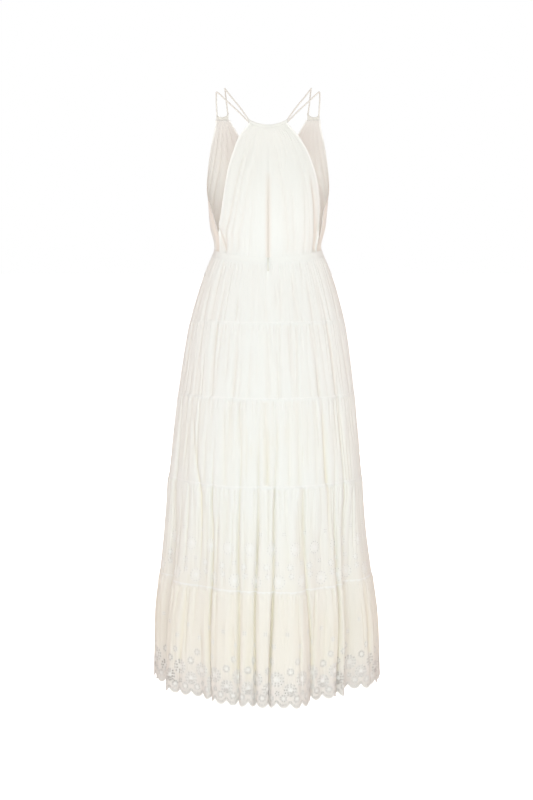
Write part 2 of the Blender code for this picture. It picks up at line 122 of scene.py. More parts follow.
# Folds: height where one starts and where it is deepest, bearing at each, depth there (in the cloth's
# inward direction), half width in degrees there
FOLDS = (
    (-0.400, -0.600, -56, -57, 0.005, 5.0),
    (-0.400, -0.600, -39, -41, 0.006, 4.0),
    (-0.400, -0.620, -21, -23, 0.003, 4.0),
    (-0.400, -0.620, 18, 17, 0.003, 4.0),
    (-0.400, -0.600, 34, 36, 0.005, 4.0),
    (-0.400, -0.600, 47, 51, 0.008, 4.5),
    (-0.400, -0.600, 68, 68, 0.005, 5.0),
    (-0.400, -0.600, -75, -76, 0.006, 5.0),
    (-0.700, -0.930, -60, -43, 0.010, 3.5),
    (-0.680, HEM, -73, -70, 0.034, 4.5),
    (-1.080, HEM, -48, -54, 0.010, 3.6),
    (-0.780, HEM, -35, -34, 0.026, 3.2),
    (-0.700, HEM, -17, -17.5, 0.020, 3.0),
    (-0.700, HEM, -4.6, -9.2, 0.024, 3.0),
    (-0.690, HEM, 5.8, 1.2, 0.020, 2.8),
    (-0.860, HEM, 19.5, 27, 0.026, 3.4),
    (-0.700, -0.900, 36, 38, 0.008, 4.0),
    (-0.860, HEM, 43.5, 43, 0.040, 3.6),
    (-0.600, HEM, 54, 49, 0.026, 3.2),
    (-1.100, HEM, 64, 69, 0.018, 3.6),
    (-0.700, HEM, 84, 80, 0.014, 4.0),
    (-0.680, HEM, 102, 98, 0.022, 4.0),
    (-0.720, HEM, 118, 112, 0.034, 4.5),
    (-0.700, HEM, 133, 130, 0.022, 4.0),
    (-0.900, HEM, 144, 143, 0.014, 3.0),
    (-0.700, HEM, 157, 155, 0.030, 4.0),
    (-0.720, HEM, 170, 172, 0.024, 3.4),
    (-0.900, HEM, 182, 183, 0.014, 3.0),
    (-0.700, HEM, 194, 197, 0.028, 3.8),
    (-0.720, HEM, 213, 214, 0.020, 4.0),
    (-0.690, HEM, 226, 230, 0.034, 4.6),
    (-0.900, HEM, 241, 245, 0.016, 3.4),
    (-0.700, HEM, 256, 260, 0.024, 4.0),
    (-0.720, HEM, 272, 276, 0.016, 4.4),
)

# Lobes between folds that stand out from the form, where the depth is negative, or lie back from it:
# the same columns
LOBES = (
    (-0.450, -1.020, -88, -88, -0.011, 15.0),
    (-0.600, -1.020, 86, 86, 0.006, 14.0),
    (-0.950, HEM, -57, -59, -0.012, 6.0),
    (-0.950, HEM, -71, -70, 0.030, 6.0),
    (-0.950, HEM, -41, -41, 0.020, 7.0),
    (-0.950, HEM, 14, 15, -0.016, 6.5),
    (-0.950, HEM, 32, 32, 0.028, 7.5),
    (-0.950, HEM, 54, 54, 0.056, 6.5),
    (-0.950, HEM, 125, 123, -0.012, 7.0),
    (-0.950, HEM, 163, 164, -0.010, 6.5),
    (-0.950, HEM, 205, 206, 0.014, 8.0),
    (-0.950, HEM, 236, 238, -0.012, 7.0),
)

# Where each armhole ends, at the top of the side seam
ARMHOLE_BOTTOM = {"left": -0.334, "right": -0.350}

# Back panel, from the waist up: height at its inner edge, height at its side edge, half width to the
# side edge on the left and on the right, half width of the centre slit. The second row ends at the
# bottom of the armhole.
BACK_ROWS = (
    (None, None, 0.1110, 0.1130, 0.0014),
    (-0.352, None, 0.1165, 0.1200, 0.0024),
    (-0.310, -0.300, 0.1105, 0.1215, 0.0026),
    (-0.262, -0.255, 0.1035, 0.1195, 0.0025),
    (-0.218, -0.212, 0.0965, 0.1125, 0.0018),
    (-0.187, -0.180, 0.0895, 0.1030, 0.0000),
    (-0.150, -0.146, 0.0785, 0.0890, 0.0000),
    (-0.120, -0.114, 0.0655, 0.0690, 0.0000),
    (None, None, 0.0440, 0.0440, 0.0000),
)

# Front panel, from the waist up: half width of the V, height at the V or at centre front, bearing of
# the outer edge, its height. The lowest two rows end at the side seam.
FRONT_ROWS = (
    (0.0000, None, None, None),
    (0.0000, -0.320, None, None),
    (0.0000, -0.254, 66.0, -0.288),
    (0.0000, -0.172, 84.0, -0.246),
    (0.0290, -0.162, 100.0, -0.190),
    (0.0520, -0.138, 111.0, -0.134),
    (0.0700, -0.105, 118.5, -0.098),
    (0.0900, None, 122.0, None),
)

# Long soft folds of the bodice: share of the half panel from its centre at the waist, the same at the
# top, depth, half width in metres, share of the height by which it has died out
BACK_FOLDS = {
    "left": (
        (0.82, 0.56, 0.0040, 0.0042, 0.90),
        (0.68, 0.42, 0.0022, 0.0040, 0.95),
        (0.54, 0.18, 0.0026, 0.0050, 0.75),
        (0.28, 0.26, 0.0014, 0.0050, 1.00),
        (0.93, 0.86, 0.0018, 0.0040, 0.50),
        (0.77, 2.90, 0.0060, 0.0040, 0.30),
    ),
    "right": (
        (0.30, 0.10, 0.0028, 0.0050, 0.95),
        (0.40, 0.32, 0.0024, 0.0045, 0.60),
        (0.60, 0.68, 0.0024, 0.0045, 0.60),
        (0.88, 0.82, 0.0070, 0.0048, 0.62),
        (0.74, 0.62, 0.0016, 0.0045, 0.90),
        (0.95, 0.92, 0.0060, 0.0060, 0.32),
    ),
}
FRONT_FOLDS = (
    (0.10, 0.16, 0.0020, 0.0060, 1.00),
    (0.24, 0.34, 0.0024, 0.0060, 1.00),
    (0.42, 0.50, 0.0026, 0.0070, 1.00),
    (0.60, 0.64, 0.0020, 0.0060, 1.00),
    (0.80, 0.80, 0.0022, 0.0070, 1.00),
    (0.95, 0.93, 0.0040, 0.0080, 0.45),
)

# A front peak's bound top, from its inner to its outer corner: half width, height of the top edge
PEAK_TOP = (
    (0.0935, -0.0525),
    (0.1000, -0.0600),
    (0.1085, -0.0632),
    (0.1165, -0.0622),
    (0.1215, -0.0570),
)

# Straps, from the front peak over the shoulder to the back neck: the points they pass
STRAPS = {
    "inner": (
        (0.0953, 0.0728, -0.0565),
        (0.0985, 0.0420, -0.0255),
        (0.1000, 0.0110, -0.0045),
        (0.1003, 0.0020, -0.0018),
        (0.0995, -0.0050, -0.0030),
        (0.0860, -0.0250, -0.0210),
        (0.0640, -0.0560, -0.0490),
        (0.0432, -0.0880, -0.0795),
    ),
    "outer": (
        (0.1203, 0.0560, -0.0620),
        (0.1215, 0.0360, -0.0330),
        (0.1210, 0.0100, -0.0125),
        (0.1195, 0.0010, -0.0100),
        (0.1160, -0.0060, -0.0115),
        (0.0950, -0.0300, -0.0320),
        (0.0680, -0.0590, -0.0580),
        (0.0440, -0.0880, -0.0835),
    ),
}

SIDES = (("left", -1), ("right", 1))

# Columns and rows of each flat piece's grid
BACK_GRID = (130, 90)
FRONT_GRID = (150, 90)
WAISTBAND_GRID = (720, 12)
NECK_BINDING_GRID = (150, 14)
PEAK_BAND_GRID = (64, 14)

# How creases and gathers lie
CREASE_CORE = 0.45     # how rounded a crease's bottom is, in half widths
CREASE_NARROW = 0.32   # a crease's half width beside that of the part's plain fold
CREASE_SHALLOW = 0.65  # a crease's depth beside that of the part's plain fold
CREASE_SWAY = 0.45     # how far a crease sways from its line, in degrees
FOLD_SHADE_FULL = 0.014      # depth of a main fold at which its painted shade is full
GATHER_RISE = 0.007    # how far from its thread a gather is at its full depth
GATHER_SPAN = 14.0     # half widths beyond which a gather isn't felt
GATHER_WIDENS = 0.060  # how far from its thread a gather is twice as wide
LONG_SEED = 60         # seed of the first tier's long creases
LONG_SPACING = 0.0145  # distance between long creases
LONG_RUN = 0.20        # how far a usual long crease runs

# How the tiers are sewn together
TUCK = 0.0020          # how far a gathered edge runs up inside the seam it is sewn into
DRAWN_IN = 0.0004      # how far that edge lies behind the piece it is sewn to
LAP = 0.0005           # how far a tier's lower edge laps over the next
SEAM_SEED = 80         # seed of the first tier seam's run
SEAM_WANDER = 0.0016   # how uneven a tier's seam is
EDGE_ROWS = 0.62       # how strongly a tier's rows are drawn to its two edges
PUFF_RISE = 0.014      # how far below a seam the cloth puffs out most
PUFF_FALL = 0.035      # how fast it settles again
PUCKER = 0.0008        # depth of the puckers that the next tier's gathers leave in a lower edge
PUCKER_REACH = 0.010   # how far up they show
FLARE = 0.0030         # how far the hem waves in and out
FLARE_SEED = 97        # seed of those waves
FLARE_REACH = 0.05     # how far up from the hem they are felt
SCALLOP_POWER = 2.2    # how square a scallop is

# How the bodice is sewn
TURNED_LIFT = 0.0005   # how far a turned edge stands out, because it is double
SLIT_SHARE = 0.18      # the slit's half width beside that of the part
SLIT_CURL = 0.0012     # how far the slit's edges curl out
BACK_SPREAD = 0.10     # width of a back half that its gathers are counted on
FRONT_SPREAD = 0.16    # the same of a front half
FRONT_EASE = 1.12      # a front half's width beside the straight line across it
BACK_SHADE_FULL = 0.007      # depth at which the back's painted shade is full
FRONT_SHADE_FULL = 0.008     # the same for the front
FRONT_V = 0.43         # share of the front's height at which the V parts
SIDE_GAP = 0.2         # gap between back and front at the side seam, in degrees

# The right back's side edge turns inwards: where that starts, as a share across the panel, how deep its
# fold is and over what share, and how far the strip beyond goes on inwards for each share across
TURNED_FROM = 0.855
TURNED_FOLD = 0.0030
TURNED_OVER = 0.030
TURNED_SLANT = 0.090

# Bindings
NECK_OVERHANG = 0.0015     # how far the back neck binding runs past the panels at each end
NECK_GATHERED = 0.088      # width that its gathers are counted on
PEAK_BAND_HEIGHT = 0.010   # height of the bound edge at a front peak
PEAK_BAND_EASE = 1.25      # its cloth beside its own width
PEAK_LUMP = 0.0008         # how far its lumps stand out
PEAK_LUMP_SEED = 57        # seed of those lumps
BINDING_DOWN = 0.010       # how far from its thread a binding's gathers are taken
BINDING_SHADE_FULL = 0.004       # depth of gather at which a binding's painted shade is full
PEAK_BAND_SHADE_FULL = 0.003     # the same for a peak's band
STRAP_STEPS = 90           # points along a strap

# Painted shade by height, each as a tint: where it starts, where it is full, and its share there
DEEP_FOLD_SHADE = (-0.60, -0.95, 1.0)
LOW_SHADE = (-0.92, -1.26, 0.85)
BACK_NECK_SHADE = (-0.34, -0.12, 0.85)
BINDING_NECK_SHADE = (-0.26, -0.10, 0.85)
INSIDE_FRONT_SHADE = (-0.20, -0.09, 0.95)

# Cloth as a surface
VOILE_THROUGH = 0.34      # share of the light that comes through voile
BINDING_THROUGH = 0.30    # the same through a binding
VOILE_RELIEF = 0.0009     # depth of the voile's bump
BINDING_RELIEF = 0.0008   # the same of a binding's
STITCH = 2.6              # length of a stitch and its gap, in millimetres
STITCH_HALF = 0.32        # half its width, in millimetres
WORN_ENAMEL = (0.42, 0.39, 0.34)

# Stage
LENS = 74.22              # the camera's focal length, in millimetres
CAMERA_PLACE = (-0.0035, -3.9, -0.30)
CAMERA_DOWN = 6.31        # how far the camera looks down, in degrees
FLOOR_GLOW = 0.80         # how strongly the floor shines of itself
FLOOR_TINTS = ((0.93, 0.93, 0.925), (0.95, 0.95, 0.945))
WHITE = (1.0, 1.0, 1.0)
ROOM_TINT = (1.0, 0.88, 0.85)
KEY_TINT = (0.76, 0.97, 1.0)
SIDE_TINT = (1.0, 0.98, 0.94)
FAR_TINT = (1.0, 0.97, 0.93)


# --- settings -------------------------------------------------------------------------------------------

def amount(name, description, default, **kind):
    return bpy.props.FloatProperty(name=name, description=description, default=default, **kind)


def length(name, description, default):
    return amount(name, description, default, unit="LENGTH", precision=4)


def colour(name, description, default):
    return bpy.props.FloatVectorProperty(name=name, description=description, default=default,
                                         subtype="COLOR", min=0.0, max=1.0)


class DressSizes(bpy.types.PropertyGroup):
    """Sizes of the cloth and its finishing."""

    wall: length("Cloth", "Thickness of one layer of voile", 0.0005)
    binding_wall: length("Binding", "Thickness of a bound edge", 0.0006)
    turned_edge: length("Turned edge", "Width of the narrow hems at the neck and armholes", 0.0050)
    seam_band: length("Seam allowance", "Height of the allowance pressed up above a seam", 0.0050)
    scallop: length("Scallop", "Width of one scallop of the hem", 0.0310)
    scallop_depth: length("Scallop depth", "Height from a scallop's tip to the notch beside it", 0.0115)
    eyelet: length("Eyelet", "Radius of the largest embroidered eyelets", 0.0016)
    strap: length("Strap", "Diameter of a rouleau strap", 0.0034)


class DressColours(bpy.types.PropertyGroup):
    """Colours of the cloth, thread and metal, and the painted shade on the cloth."""

    voile: colour("Voile", "Ivory cotton voile", (0.928, 0.932, 0.912))
    # Painted shade: the voile's colour where it lies in a fold, mixed in by the crease values
    crease: colour("Voile in folds", "The voile where it lies in a fold", (0.880, 0.808, 0.742))
    # Painted shade: warmer, deeper cream in the folds of the lower tiers
    deep: colour("Voile deep in folds", "Heavy cream in the lower tiers' folds", (0.900, 0.840, 0.660))
    # Painted shade: the voile darker and warmer towards the hem
    low: colour("Voile low down", "The heavier cream of the lowest tier", (0.915, 0.872, 0.800))
    # Painted shade: the inside of the front darker towards its peaks
    close: colour("Voile inside the peaks", "The inside of the front, drawn up", (0.780, 0.745, 0.720))
    # Painted shade: the back and its binding darker towards the neck
    neck: colour("Voile at the back neck", "The back, drawn up into its binding", (0.830, 0.828, 0.795))
    # Painted shade: the hem's lowest band darker towards its edge
    worked: colour("Voile worked close", "The ground between close embroidery", (0.845, 0.798, 0.760))
    sheer: colour("Light through", "What the voile does to light through it", (0.900, 0.870, 0.840))
    shade: colour("Eyelet walls", "The shaded wall of an eyelet", (0.260, 0.225, 0.190))
    thread: colour("Thread", "Embroidery, and cloth that is double", (0.975, 0.970, 0.950))
    binding: colour("Binding", "Bindings and waistband", (0.930, 0.930, 0.905))
    # Painted shade: the straps' and peak bands' cloth darker than the voile it is made of
    rouleau: colour("Straps", "The straps' close-rolled cloth", (0.730, 0.690, 0.640))
    metal: colour("Zip", "Enamel of the zip's slider and pull tab", (0.680, 0.650, 0.590))


class StageSettings(bpy.types.PropertyGroup):
    """The plain studio round the dress."""

    floor_drop: length("Floor", "How far the floor is below the hem", 0.0600)
    key: amount("Key light", "Watts of the large soft light facing the back of the dress", 137.0)
    fill: amount("Side lights", "Watts of each side light", 5.6)
    far: amount("Far light", "Watts of the large soft light facing the front of the dress", 100.0)
    top: amount("Top light", "Watts of the light overhead", 1.0)
    surround: amount("Surround", "Brightness of the pale room as a light", 0.68, subtype="FACTOR")


# --- shapes ---------------------------------------------------------------------------------------------

def between(low, high, part):
    return low + (high - low) * part


def smooth_step(part):
    part = np.clip(part, 0.0, 1.0)
    return part * part * (3.0 - 2.0 * part)


def smooth_run(knots, values, places):
    """Values at the places, read from a smooth curve through the knots, which rise."""
    secants = np.diff(values) / np.diff(knots)
    slopes = np.concatenate([secants[:1], 0.5 * (secants[:-1] + secants[1:]), secants[-1:]])
    places = np.clip(places, knots[0], knots[-1])
    index = np.clip(np.searchsorted(knots, places) - 1, 0, len(knots) - 2)
    span = knots[index + 1] - knots[index]
    t = (places - knots[index]) / span
    return (values[index] * (2.0 * t ** 3 - 3.0 * t ** 2 + 1.0)
            + slopes[index] * span * (t ** 3 - 2.0 * t ** 2 + t)
            + values[index + 1] * (3.0 * t ** 2 - 2.0 * t ** 3)
            + slopes[index + 1] * span * (t ** 3 - t ** 2))


def section(height):
    """Half width, half depth and squareness of the level section at a height."""
    rows = np.array(SECTIONS[::-1])
    return [smooth_run(rows[:, 0], rows[:, column], height) for column in (1, 2, 3)]


def form(bearing, height, out=0.0):
    """Points of the dress's own form at bearings and heights, moved outwards by out."""
    bearing, height, out = np.broadcast_arrays(bearing, height, out)
    half_width, half_depth, squareness = section(height)
    sine = np.sin(np.radians(bearing))
    cosine = np.cos(np.radians(bearing))
    power = 2.0 / squareness
    return np.stack([
        np.sign(sine) * np.abs(sine) ** power * (half_width + out),
        -np.sign(cosine) * np.abs(cosine) ** power * (half_depth + out),
        height,
    ], axis=-1)


def bearing_at(x, height):
    """The bearing, on the back, where the form is x away from the middle."""
    half_width, _, squareness = section(np.asarray(height, float))
    return np.degrees(np.arcsin(np.clip(x / half_width, 0.0, 1.0) ** (squareness / 2.0)))


def waist_edge(bearing):
    """Height of the waistband's top edge."""
    return WAIST_TOP - BACK_DIP * np.maximum(np.cos(np.radians(bearing)), 0.0) ** 2


def wander(place, seed, size, waves=(2, 3, 5, 8)):
    """A smooth uneven run round a ring, for places from 0 to 1."""
    chance = np.random.default_rng(seed)
    total = np.zeros_like(place)
    for count in waves:
        total = total + np.sin(2.0 * math.pi * (count * place + chance.random())) * chance.uniform(0.4, 1.0)
    return size * total / len(waves)


def crease(away, half_width):
    """How deep a crease is across its run, 1 at the middle: a close bottom between full shoulders."""
    reach = np.asarray(away) / half_width
    return np.exp(CREASE_CORE - np.sqrt(reach * reach + CREASE_CORE ** 2))


def growth(height, start, deepest):
    """How far a fold has grown at a height, from 0 where it starts to 1 where it is deepest."""
    part = (start - height) / (start - deepest)
    fade = np.clip(2.0 - part, 0.0, 1.0)
    return np.clip(part, 0.0, 1.0) ** 0.8 * np.where(part > 1.0, fade, 1.0)


def short_way(distance, whole):
    """A distance round a ring, taken the short way: from minus half the whole to half of it."""
    return (distance + whole / 2.0) % whole - whole / 2.0


def fold_depth(bearing, height):
    """How far the skirt's main creases take its wall inwards, and how strongly they paint shade on it."""
    depth = np.zeros_like(height)
    shade_marks = np.zeros_like(height)
    for index, (start, deepest, bearing_start, bearing_deep, most, half_width) in enumerate(FOLDS):
        part = np.clip((start - height) / (start - deepest), 0.0, 1.0)
        sway = CREASE_SWAY * np.sin(17.0 * height + 2.4 * index)
        away = short_way(bearing - between(bearing_start, bearing_deep, part) - sway, 360.0)
        grown = growth(height, start, deepest)
        shape = crease(away, CREASE_NARROW * half_width)
        depth = depth + CREASE_SHALLOW * most * grown * shape
        shade_marks = shade_marks + min(most / FOLD_SHADE_FULL, 1.0) * grown * shape ** 2.5
    return depth, shade_marks


def lobe_depth(bearing, height):
    """How far the broad lobes take the wall inwards."""
    depth = np.zeros_like(height)
    for start, deepest, bearing_start, bearing_deep, most, half_width in LOBES:
        part = np.clip((start - height) / (start - deepest), 0.0, 1.0)
        away = short_way(bearing - between(bearing_start, bearing_deep, part), 360.0)
        depth = depth + most * growth(height, start, deepest) * np.exp(-(away / half_width) ** 2)
    return depth


def ring_columns(height):
    """Bearings evenly spaced along the skirt's folded edge at a height, and the edge's length."""
    bearing = np.linspace(0.0, 360.0, 14401)
    level = np.full_like(bearing, height)
    edge = form(bearing, level, -fold_depth(bearing, level)[0] - lobe_depth(bearing, level))
    run = np.concatenate([[0.0], np.cumsum(np.linalg.norm(np.diff(edge, axis=0), axis=1))])
    return lambda across: np.interp(across * run[-1], run, bearing), float(run[-1])


def gather_run(across, down, width, gathers, step=0):
    """Gathers that spread down from a seam, as uneven as their thread leaves them. Step moves the seed."""
    chance = np.random.default_rng(gathers.seed + step)
    count = int(width / gathers.spacing)
    total = np.zeros_like(across)
    rise = smooth_step(down / GATHER_RISE)
    for index in range(count):
        centre = (index + chance.uniform(-0.42, 0.42)) * width / count
        most = gathers.depth * chance.uniform(0.25, 1.0)
        half = gathers.spacing * chance.uniform(0.16, 0.34)
        long = gathers.reach * chance.uniform(0.25, 1.0) ** 1.5 * 1.6
        drift = chance.uniform(-0.10, 0.10)
        away = short_way(across * width - centre - drift * down, width)
        near = np.abs(away) < GATHER_SPAN * half
        below = np.maximum(down[near], 0.0)
        grown = half * (1.0 + below / GATHER_WIDENS)
        total[near] += most * rise[near] * np.exp(-below / long) * crease(away[near], grown)
    return total


def long_creases(across, down, width, seed, depth):
    """Creases that run most of a tier's height, at uneven places, slants and strengths."""
    chance = np.random.default_rng(seed)
    count = int(width / LONG_SPACING)
    total = np.zeros_like(across)
    for index in range(count):
        centre = (index + chance.uniform(-0.45, 0.45)) * width / count
        most = depth * chance.uniform(0.15, 1.0)
        half = chance.uniform(0.0018, 0.0052)
        drift = chance.uniform(-0.05, 0.05)
        top = chance.uniform(-0.3, 0.5) * LONG_RUN
        end = chance.uniform(0.6, 1.5) * LONG_RUN
        away = short_way(across * width - centre - drift * down, width)
        near = np.abs(away) < 0.05
        along = smooth_step((down[near] - top) / 0.03) * smooth_step((end - down[near]) / 0.05)
        total[near] += most * along * smooth_step(down[near] / 0.010) * crease(away[near], half)
    return total


# --- meshes ---------------------------------------------------------------------------------------------

def tighten(part, count):
    """Places from 0 to 1 of an even grid, its outermost lines drawn close to the edges."""
    narrow = min(EDGE_SHARE, 0.5 / count)
    return np.interp(part, (0.0, 1.0 / count, 1.0 - 1.0 / count, 1.0), (0.0, narrow, 1.0 - narrow, 1.0))


def lay_cloth(name, columns, rows, place, mirrored=False):
    """A mesh grid laid where place(across, up) says, with cloth coordinates, edge values and crease values
    for painted shade.
    """
    shape = bmesh.new()
    bmesh.ops.create_grid(shape, x_segments=columns, y_segments=rows, size=0.5)
    if mirrored:
        bmesh.ops.reverse_faces(shape, faces=shape.faces)
    mesh = bpy.data.meshes.new(name)
    shape.to_mesh(mesh)
    shape.free()
    flat = np.zeros(len(mesh.vertices) * 3, np.float32)
    mesh.vertices.foreach_get("co", flat)
    flat = flat.reshape(-1, 3).astype(float) + 0.5
    points, cloth, depth, edge = place(tighten(flat[:, 0], columns), tighten(flat[:, 1], rows))
    mesh.vertices.foreach_set("co", np.ascontiguousarray(points, np.float32).ravel())
    corners = np.zeros(len(mesh.loops), np.int32)
    mesh.loops.foreach_get("vertex_index", corners)
    layer = mesh.uv_layers.new(name=CLOTH_MAP)
    layer.data.foreach_set("uv", cloth[corners].astype(np.float32).ravel())
    # The crease values paint shade into the cloth's colour
    for label, values in (("crease", depth), ("edge", edge)):
        attribute = mesh.attributes.new(label, "FLOAT", "POINT")
        attribute.data.foreach_set("value", np.broadcast_to(values, len(flat)).astype(np.float32))
    mesh.update()
    return mesh


def weld(name, *meshes):
    """One mesh of the meshes, joined where their points meet."""
    shape = bmesh.new()
    for mesh in meshes:
        shape.from_mesh(mesh)
    bmesh.ops.remove_doubles(shape, verts=shape.verts, dist=WELD)
    joined = bpy.data.meshes.new(name)
    shape.to_mesh(joined)
    shape.free()
    for mesh in meshes:
        bpy.data.meshes.remove(mesh)
    return joined


def new_piece(name, mesh, materials, wall=0.0, body="dress", nodes=()):
    """A finished piece in the scene: smooth, riding on its body. A second material is its wall's inside."""
    mesh.shade_smooth()
    mesh.materials.clear()
    for material in materials:
        mesh.materials.append(material)
    piece = bpy.data.objects.new(name, mesh)
    bpy.context.scene.collection.objects.link(piece)
    if wall:
        thicken = piece.modifiers.new("Wall", "SOLIDIFY")
        thicken.thickness = wall
        thicken.offset = 0.0
        thicken.material_offset = len(materials) - 1
    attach(piece, body)
    if nodes:
        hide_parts(*nodes)
    return piece


# --- materials ------------------------------------------------------------------------------------------

class Flow:
    """A socket whose arithmetic adds Math nodes to its tree."""

    def __init__(self, maker, socket):
        self.maker = maker
        self.socket = socket

    def math(self, operation, *others):
        sockets = dict(enumerate((self, *others)))
        return self.maker.node("ShaderNodeMath", {"operation": operation}, sockets)

    def __add__(self, other):
        return self.math("ADD", other)

    def __sub__(self, other):
        return self.math("SUBTRACT", other)

    def __rsub__(self, other):
        return self.maker.node("ShaderNodeMath", {"operation": "SUBTRACT"}, {0: other, 1: self})

    def __mul__(self, other):
        return self.math("MULTIPLY", other)

    def __truediv__(self, other):
        return self.math("DIVIDE", other)

    def __lt__(self, other):
        return self.math("LESS_THAN", other)

    def __abs__(self):
        return self.math("ABSOLUTE")

    __radd__ = __add__
    __rmul__ = __mul__

    def least(self, other):
        return self.math("MINIMUM", other)

    def most(self, other):
        return self.math("MAXIMUM", other)

    def fraction(self):
        return self.math("FRACT")

    def ramp(self, low, high):
        """0 at low, 1 at high, smooth between."""
        return self.maker.node("ShaderNodeMapRange", {"interpolation_type": "SMOOTHSTEP"},
                               {"Value": self, "From Min": low, "From Max": high})

    def line(self, at, half):
        """1 at a value, falling to 0 at half away from it."""
        return 1.0 - (abs(self - at) / half).least(1.0)

    def within(self, repeat, part=0.0):
        """The place within a pattern's repeat, from its middle."""
        return ((self / repeat + part).fraction() - 0.5) * repeat


class Maker:
    """Makes the nodes of one material."""

    def __init__(self, name):
        self.material = bpy.data.materials.new(name)
        self.material.use_nodes = True
        self.tree = self.material.node_tree
        self.tree.nodes.clear()

    def node(self, kind, settings=None, sockets=None, output=0):
        """A node of a kind, its settings first and then its sockets, given as values or Flows."""
        made = self.tree.nodes.new(kind)
        for key, value in (settings or {}).items():
            setattr(made, key, value)
        for key, value in (sockets or {}).items():
            if isinstance(value, Flow):
                self.tree.links.new(value.socket, made.inputs[key])
            else:
                made.inputs[key].default_value = value
        return Flow(self, made.outputs[output])

    def cloth(self):
        """Cloth coordinates across and up, in millimetres."""
        cloth = self.node("ShaderNodeUVMap", {"uv_map": CLOTH_MAP})
        split = self.node("ShaderNodeSeparateXYZ", None, {0: cloth})
        up = Flow(self, split.socket.node.outputs[1])
        return cloth, split * 1000.0, up * 1000.0

    def place(self):
        """Object coordinates."""
        return self.node("ShaderNodeTexCoord", output=3)

    def attribute(self, name):
        return self.node("ShaderNodeAttribute", {"attribute_name": name}, output=2)

    def edge(self):
        """Distance to the nearest seam or edge, in millimetres."""
        return self.attribute("edge") * 1000.0

    def noise(self, vector, scale, detail=2.0, stretch=(1.0, 1.0, 1.0)):
        """Soft noise from 0 to 1, with more waves along the axes of a larger stretch."""
        mapped = self.node("ShaderNodeMapping", None, {"Vector": vector, "Scale": stretch})
        return self.node("ShaderNodeTexNoise", None, {"Vector": mapped, "Scale": scale, "Detail": detail})

    def mix(self, part, first, second):
        """A colour between two."""
        made = self.tree.nodes.new("ShaderNodeMix")
        made.data_type = "RGBA"
        for index, value in ((0, part), (6, first), (7, second)):
            if isinstance(value, Flow):
                self.tree.links.new(value.socket, made.inputs[index])
            elif index == 0:
                made.inputs[index].default_value = value
            else:
                made.inputs[index].default_value = (*value, 1.0)
        return Flow(self, made.outputs[2])

    def by_height(self, base, tint, second):
        """The base with a second colour over it between two heights, as the tint says."""
        start, full, most = tint
        height = self.node("ShaderNodeSeparateXYZ", None, {0: self.place()}, 2)
        return self.mix(height.ramp(start, full) * most, base, second)

    def bump(self, height, distance):
        return self.node("ShaderNodeBump", None, {"Height": height, "Distance": distance, "Strength": 1.0})

    def finish(self, shader):
        output = self.tree.nodes.new("ShaderNodeOutputMaterial")
        self.tree.links.new(shader.socket, output.inputs["Surface"])
        return self.material


def distance(x, y):
    return (x * x + y * y).math("SQRT")


def weave(maker, cloth):
    """Height of a plain weave with slubs: threads across and up at voile's pitch, from 0 to 1."""
    across, up = (maker.node("ShaderNodeTexWave", {"bands_direction": axis},
                             {"Vector": cloth, "Scale": 420.0, "Distortion": 0.6}) for axis in "XY")
    slubs = maker.noise(cloth, 60.0, 3.0, (1.0, 9.0, 1.0))
    return across * 0.25 + up * 0.25 + slubs * 0.5


def cloth_shader(maker, base, normal, translucence, colours):
    """Matt cotton that lets a share of the light through."""
    front = maker.node("ShaderNodeBsdfPrincipled", None, {
        "Base Color": base, "Roughness": 0.82, "Specular IOR Level": 0.25, "Sheen Weight": 0.12,
        "Sheen Roughness": 0.6, "Normal": normal})
    through = maker.node("ShaderNodeBsdfTranslucent", None, {
        "Color": (*colours.sheer, 1.0), "Normal": normal})
    return maker.node("ShaderNodeMixShader", None, {0: translucence, 1: front, 2: through})


def cloth_base(maker, colours, cloth):
    """The voile's colour: a little uneven, with painted shade, darker and warmer low down and in folds."""
    uneven = maker.noise(cloth, 26.0, 3.0, (1.0, 0.35, 1.0))
    # Painted shade in folds, from the crease values, with a little random unevenness of tone
    fold_shade_and_mottle = (maker.attribute("crease") * 0.9 + (uneven - 0.5) * 0.10).most(0.0).least(1.0)
    fold = maker.by_height(colours.crease, DEEP_FOLD_SHADE, colours.deep)
    flat = maker.by_height(colours.voile, LOW_SHADE, colours.low)
    return maker.mix(fold_shade_and_mottle, flat, fold)


def stitches(along, edge, place):
    """Height of a row of sewing stitches at a distance from an edge, all in millimetres."""
    dash = abs((along / STITCH).fraction() - 0.5).ramp(0.42, 0.34)
    return edge.line(place, STITCH_HALF) * dash


def voile_surface(maker, cloth, along, sizes):
    """How far the cloth is seam allowance, and the height of its weave, its crinkle and its stitches."""
    allowance = 1000.0 * sizes.seam_band
    edge = maker.edge()
    sewn = stitches(along, edge, allowance - 0.9)
    crinkle = maker.noise(cloth, 34.0, 4.0, (4.5, 0.5, 1.0))
    relief = weave(maker, cloth) * 0.25 + crinkle * 1.6 + sewn * 0.25
    return edge.ramp(allowance, allowance - 0.8), relief


def voile_material(colours, sizes, name="Ivory cotton voile", drawn=None):
    """Plain voile; drawn, if given, is a tint and colour that paint shade where it is drawn up close."""
    maker = Maker(name)
    cloth, across, up = maker.cloth()
    band, relief = voile_surface(maker, cloth, across + up, sizes)
    base = cloth_base(maker, colours, cloth)
    if drawn:
        base = maker.by_height(base, *drawn)
    base = maker.mix(band, base, colours.thread)
    normal = maker.bump(relief, VOILE_RELIEF)
    return maker.finish(cloth_shader(maker, base, normal, VOILE_THROUGH, colours))


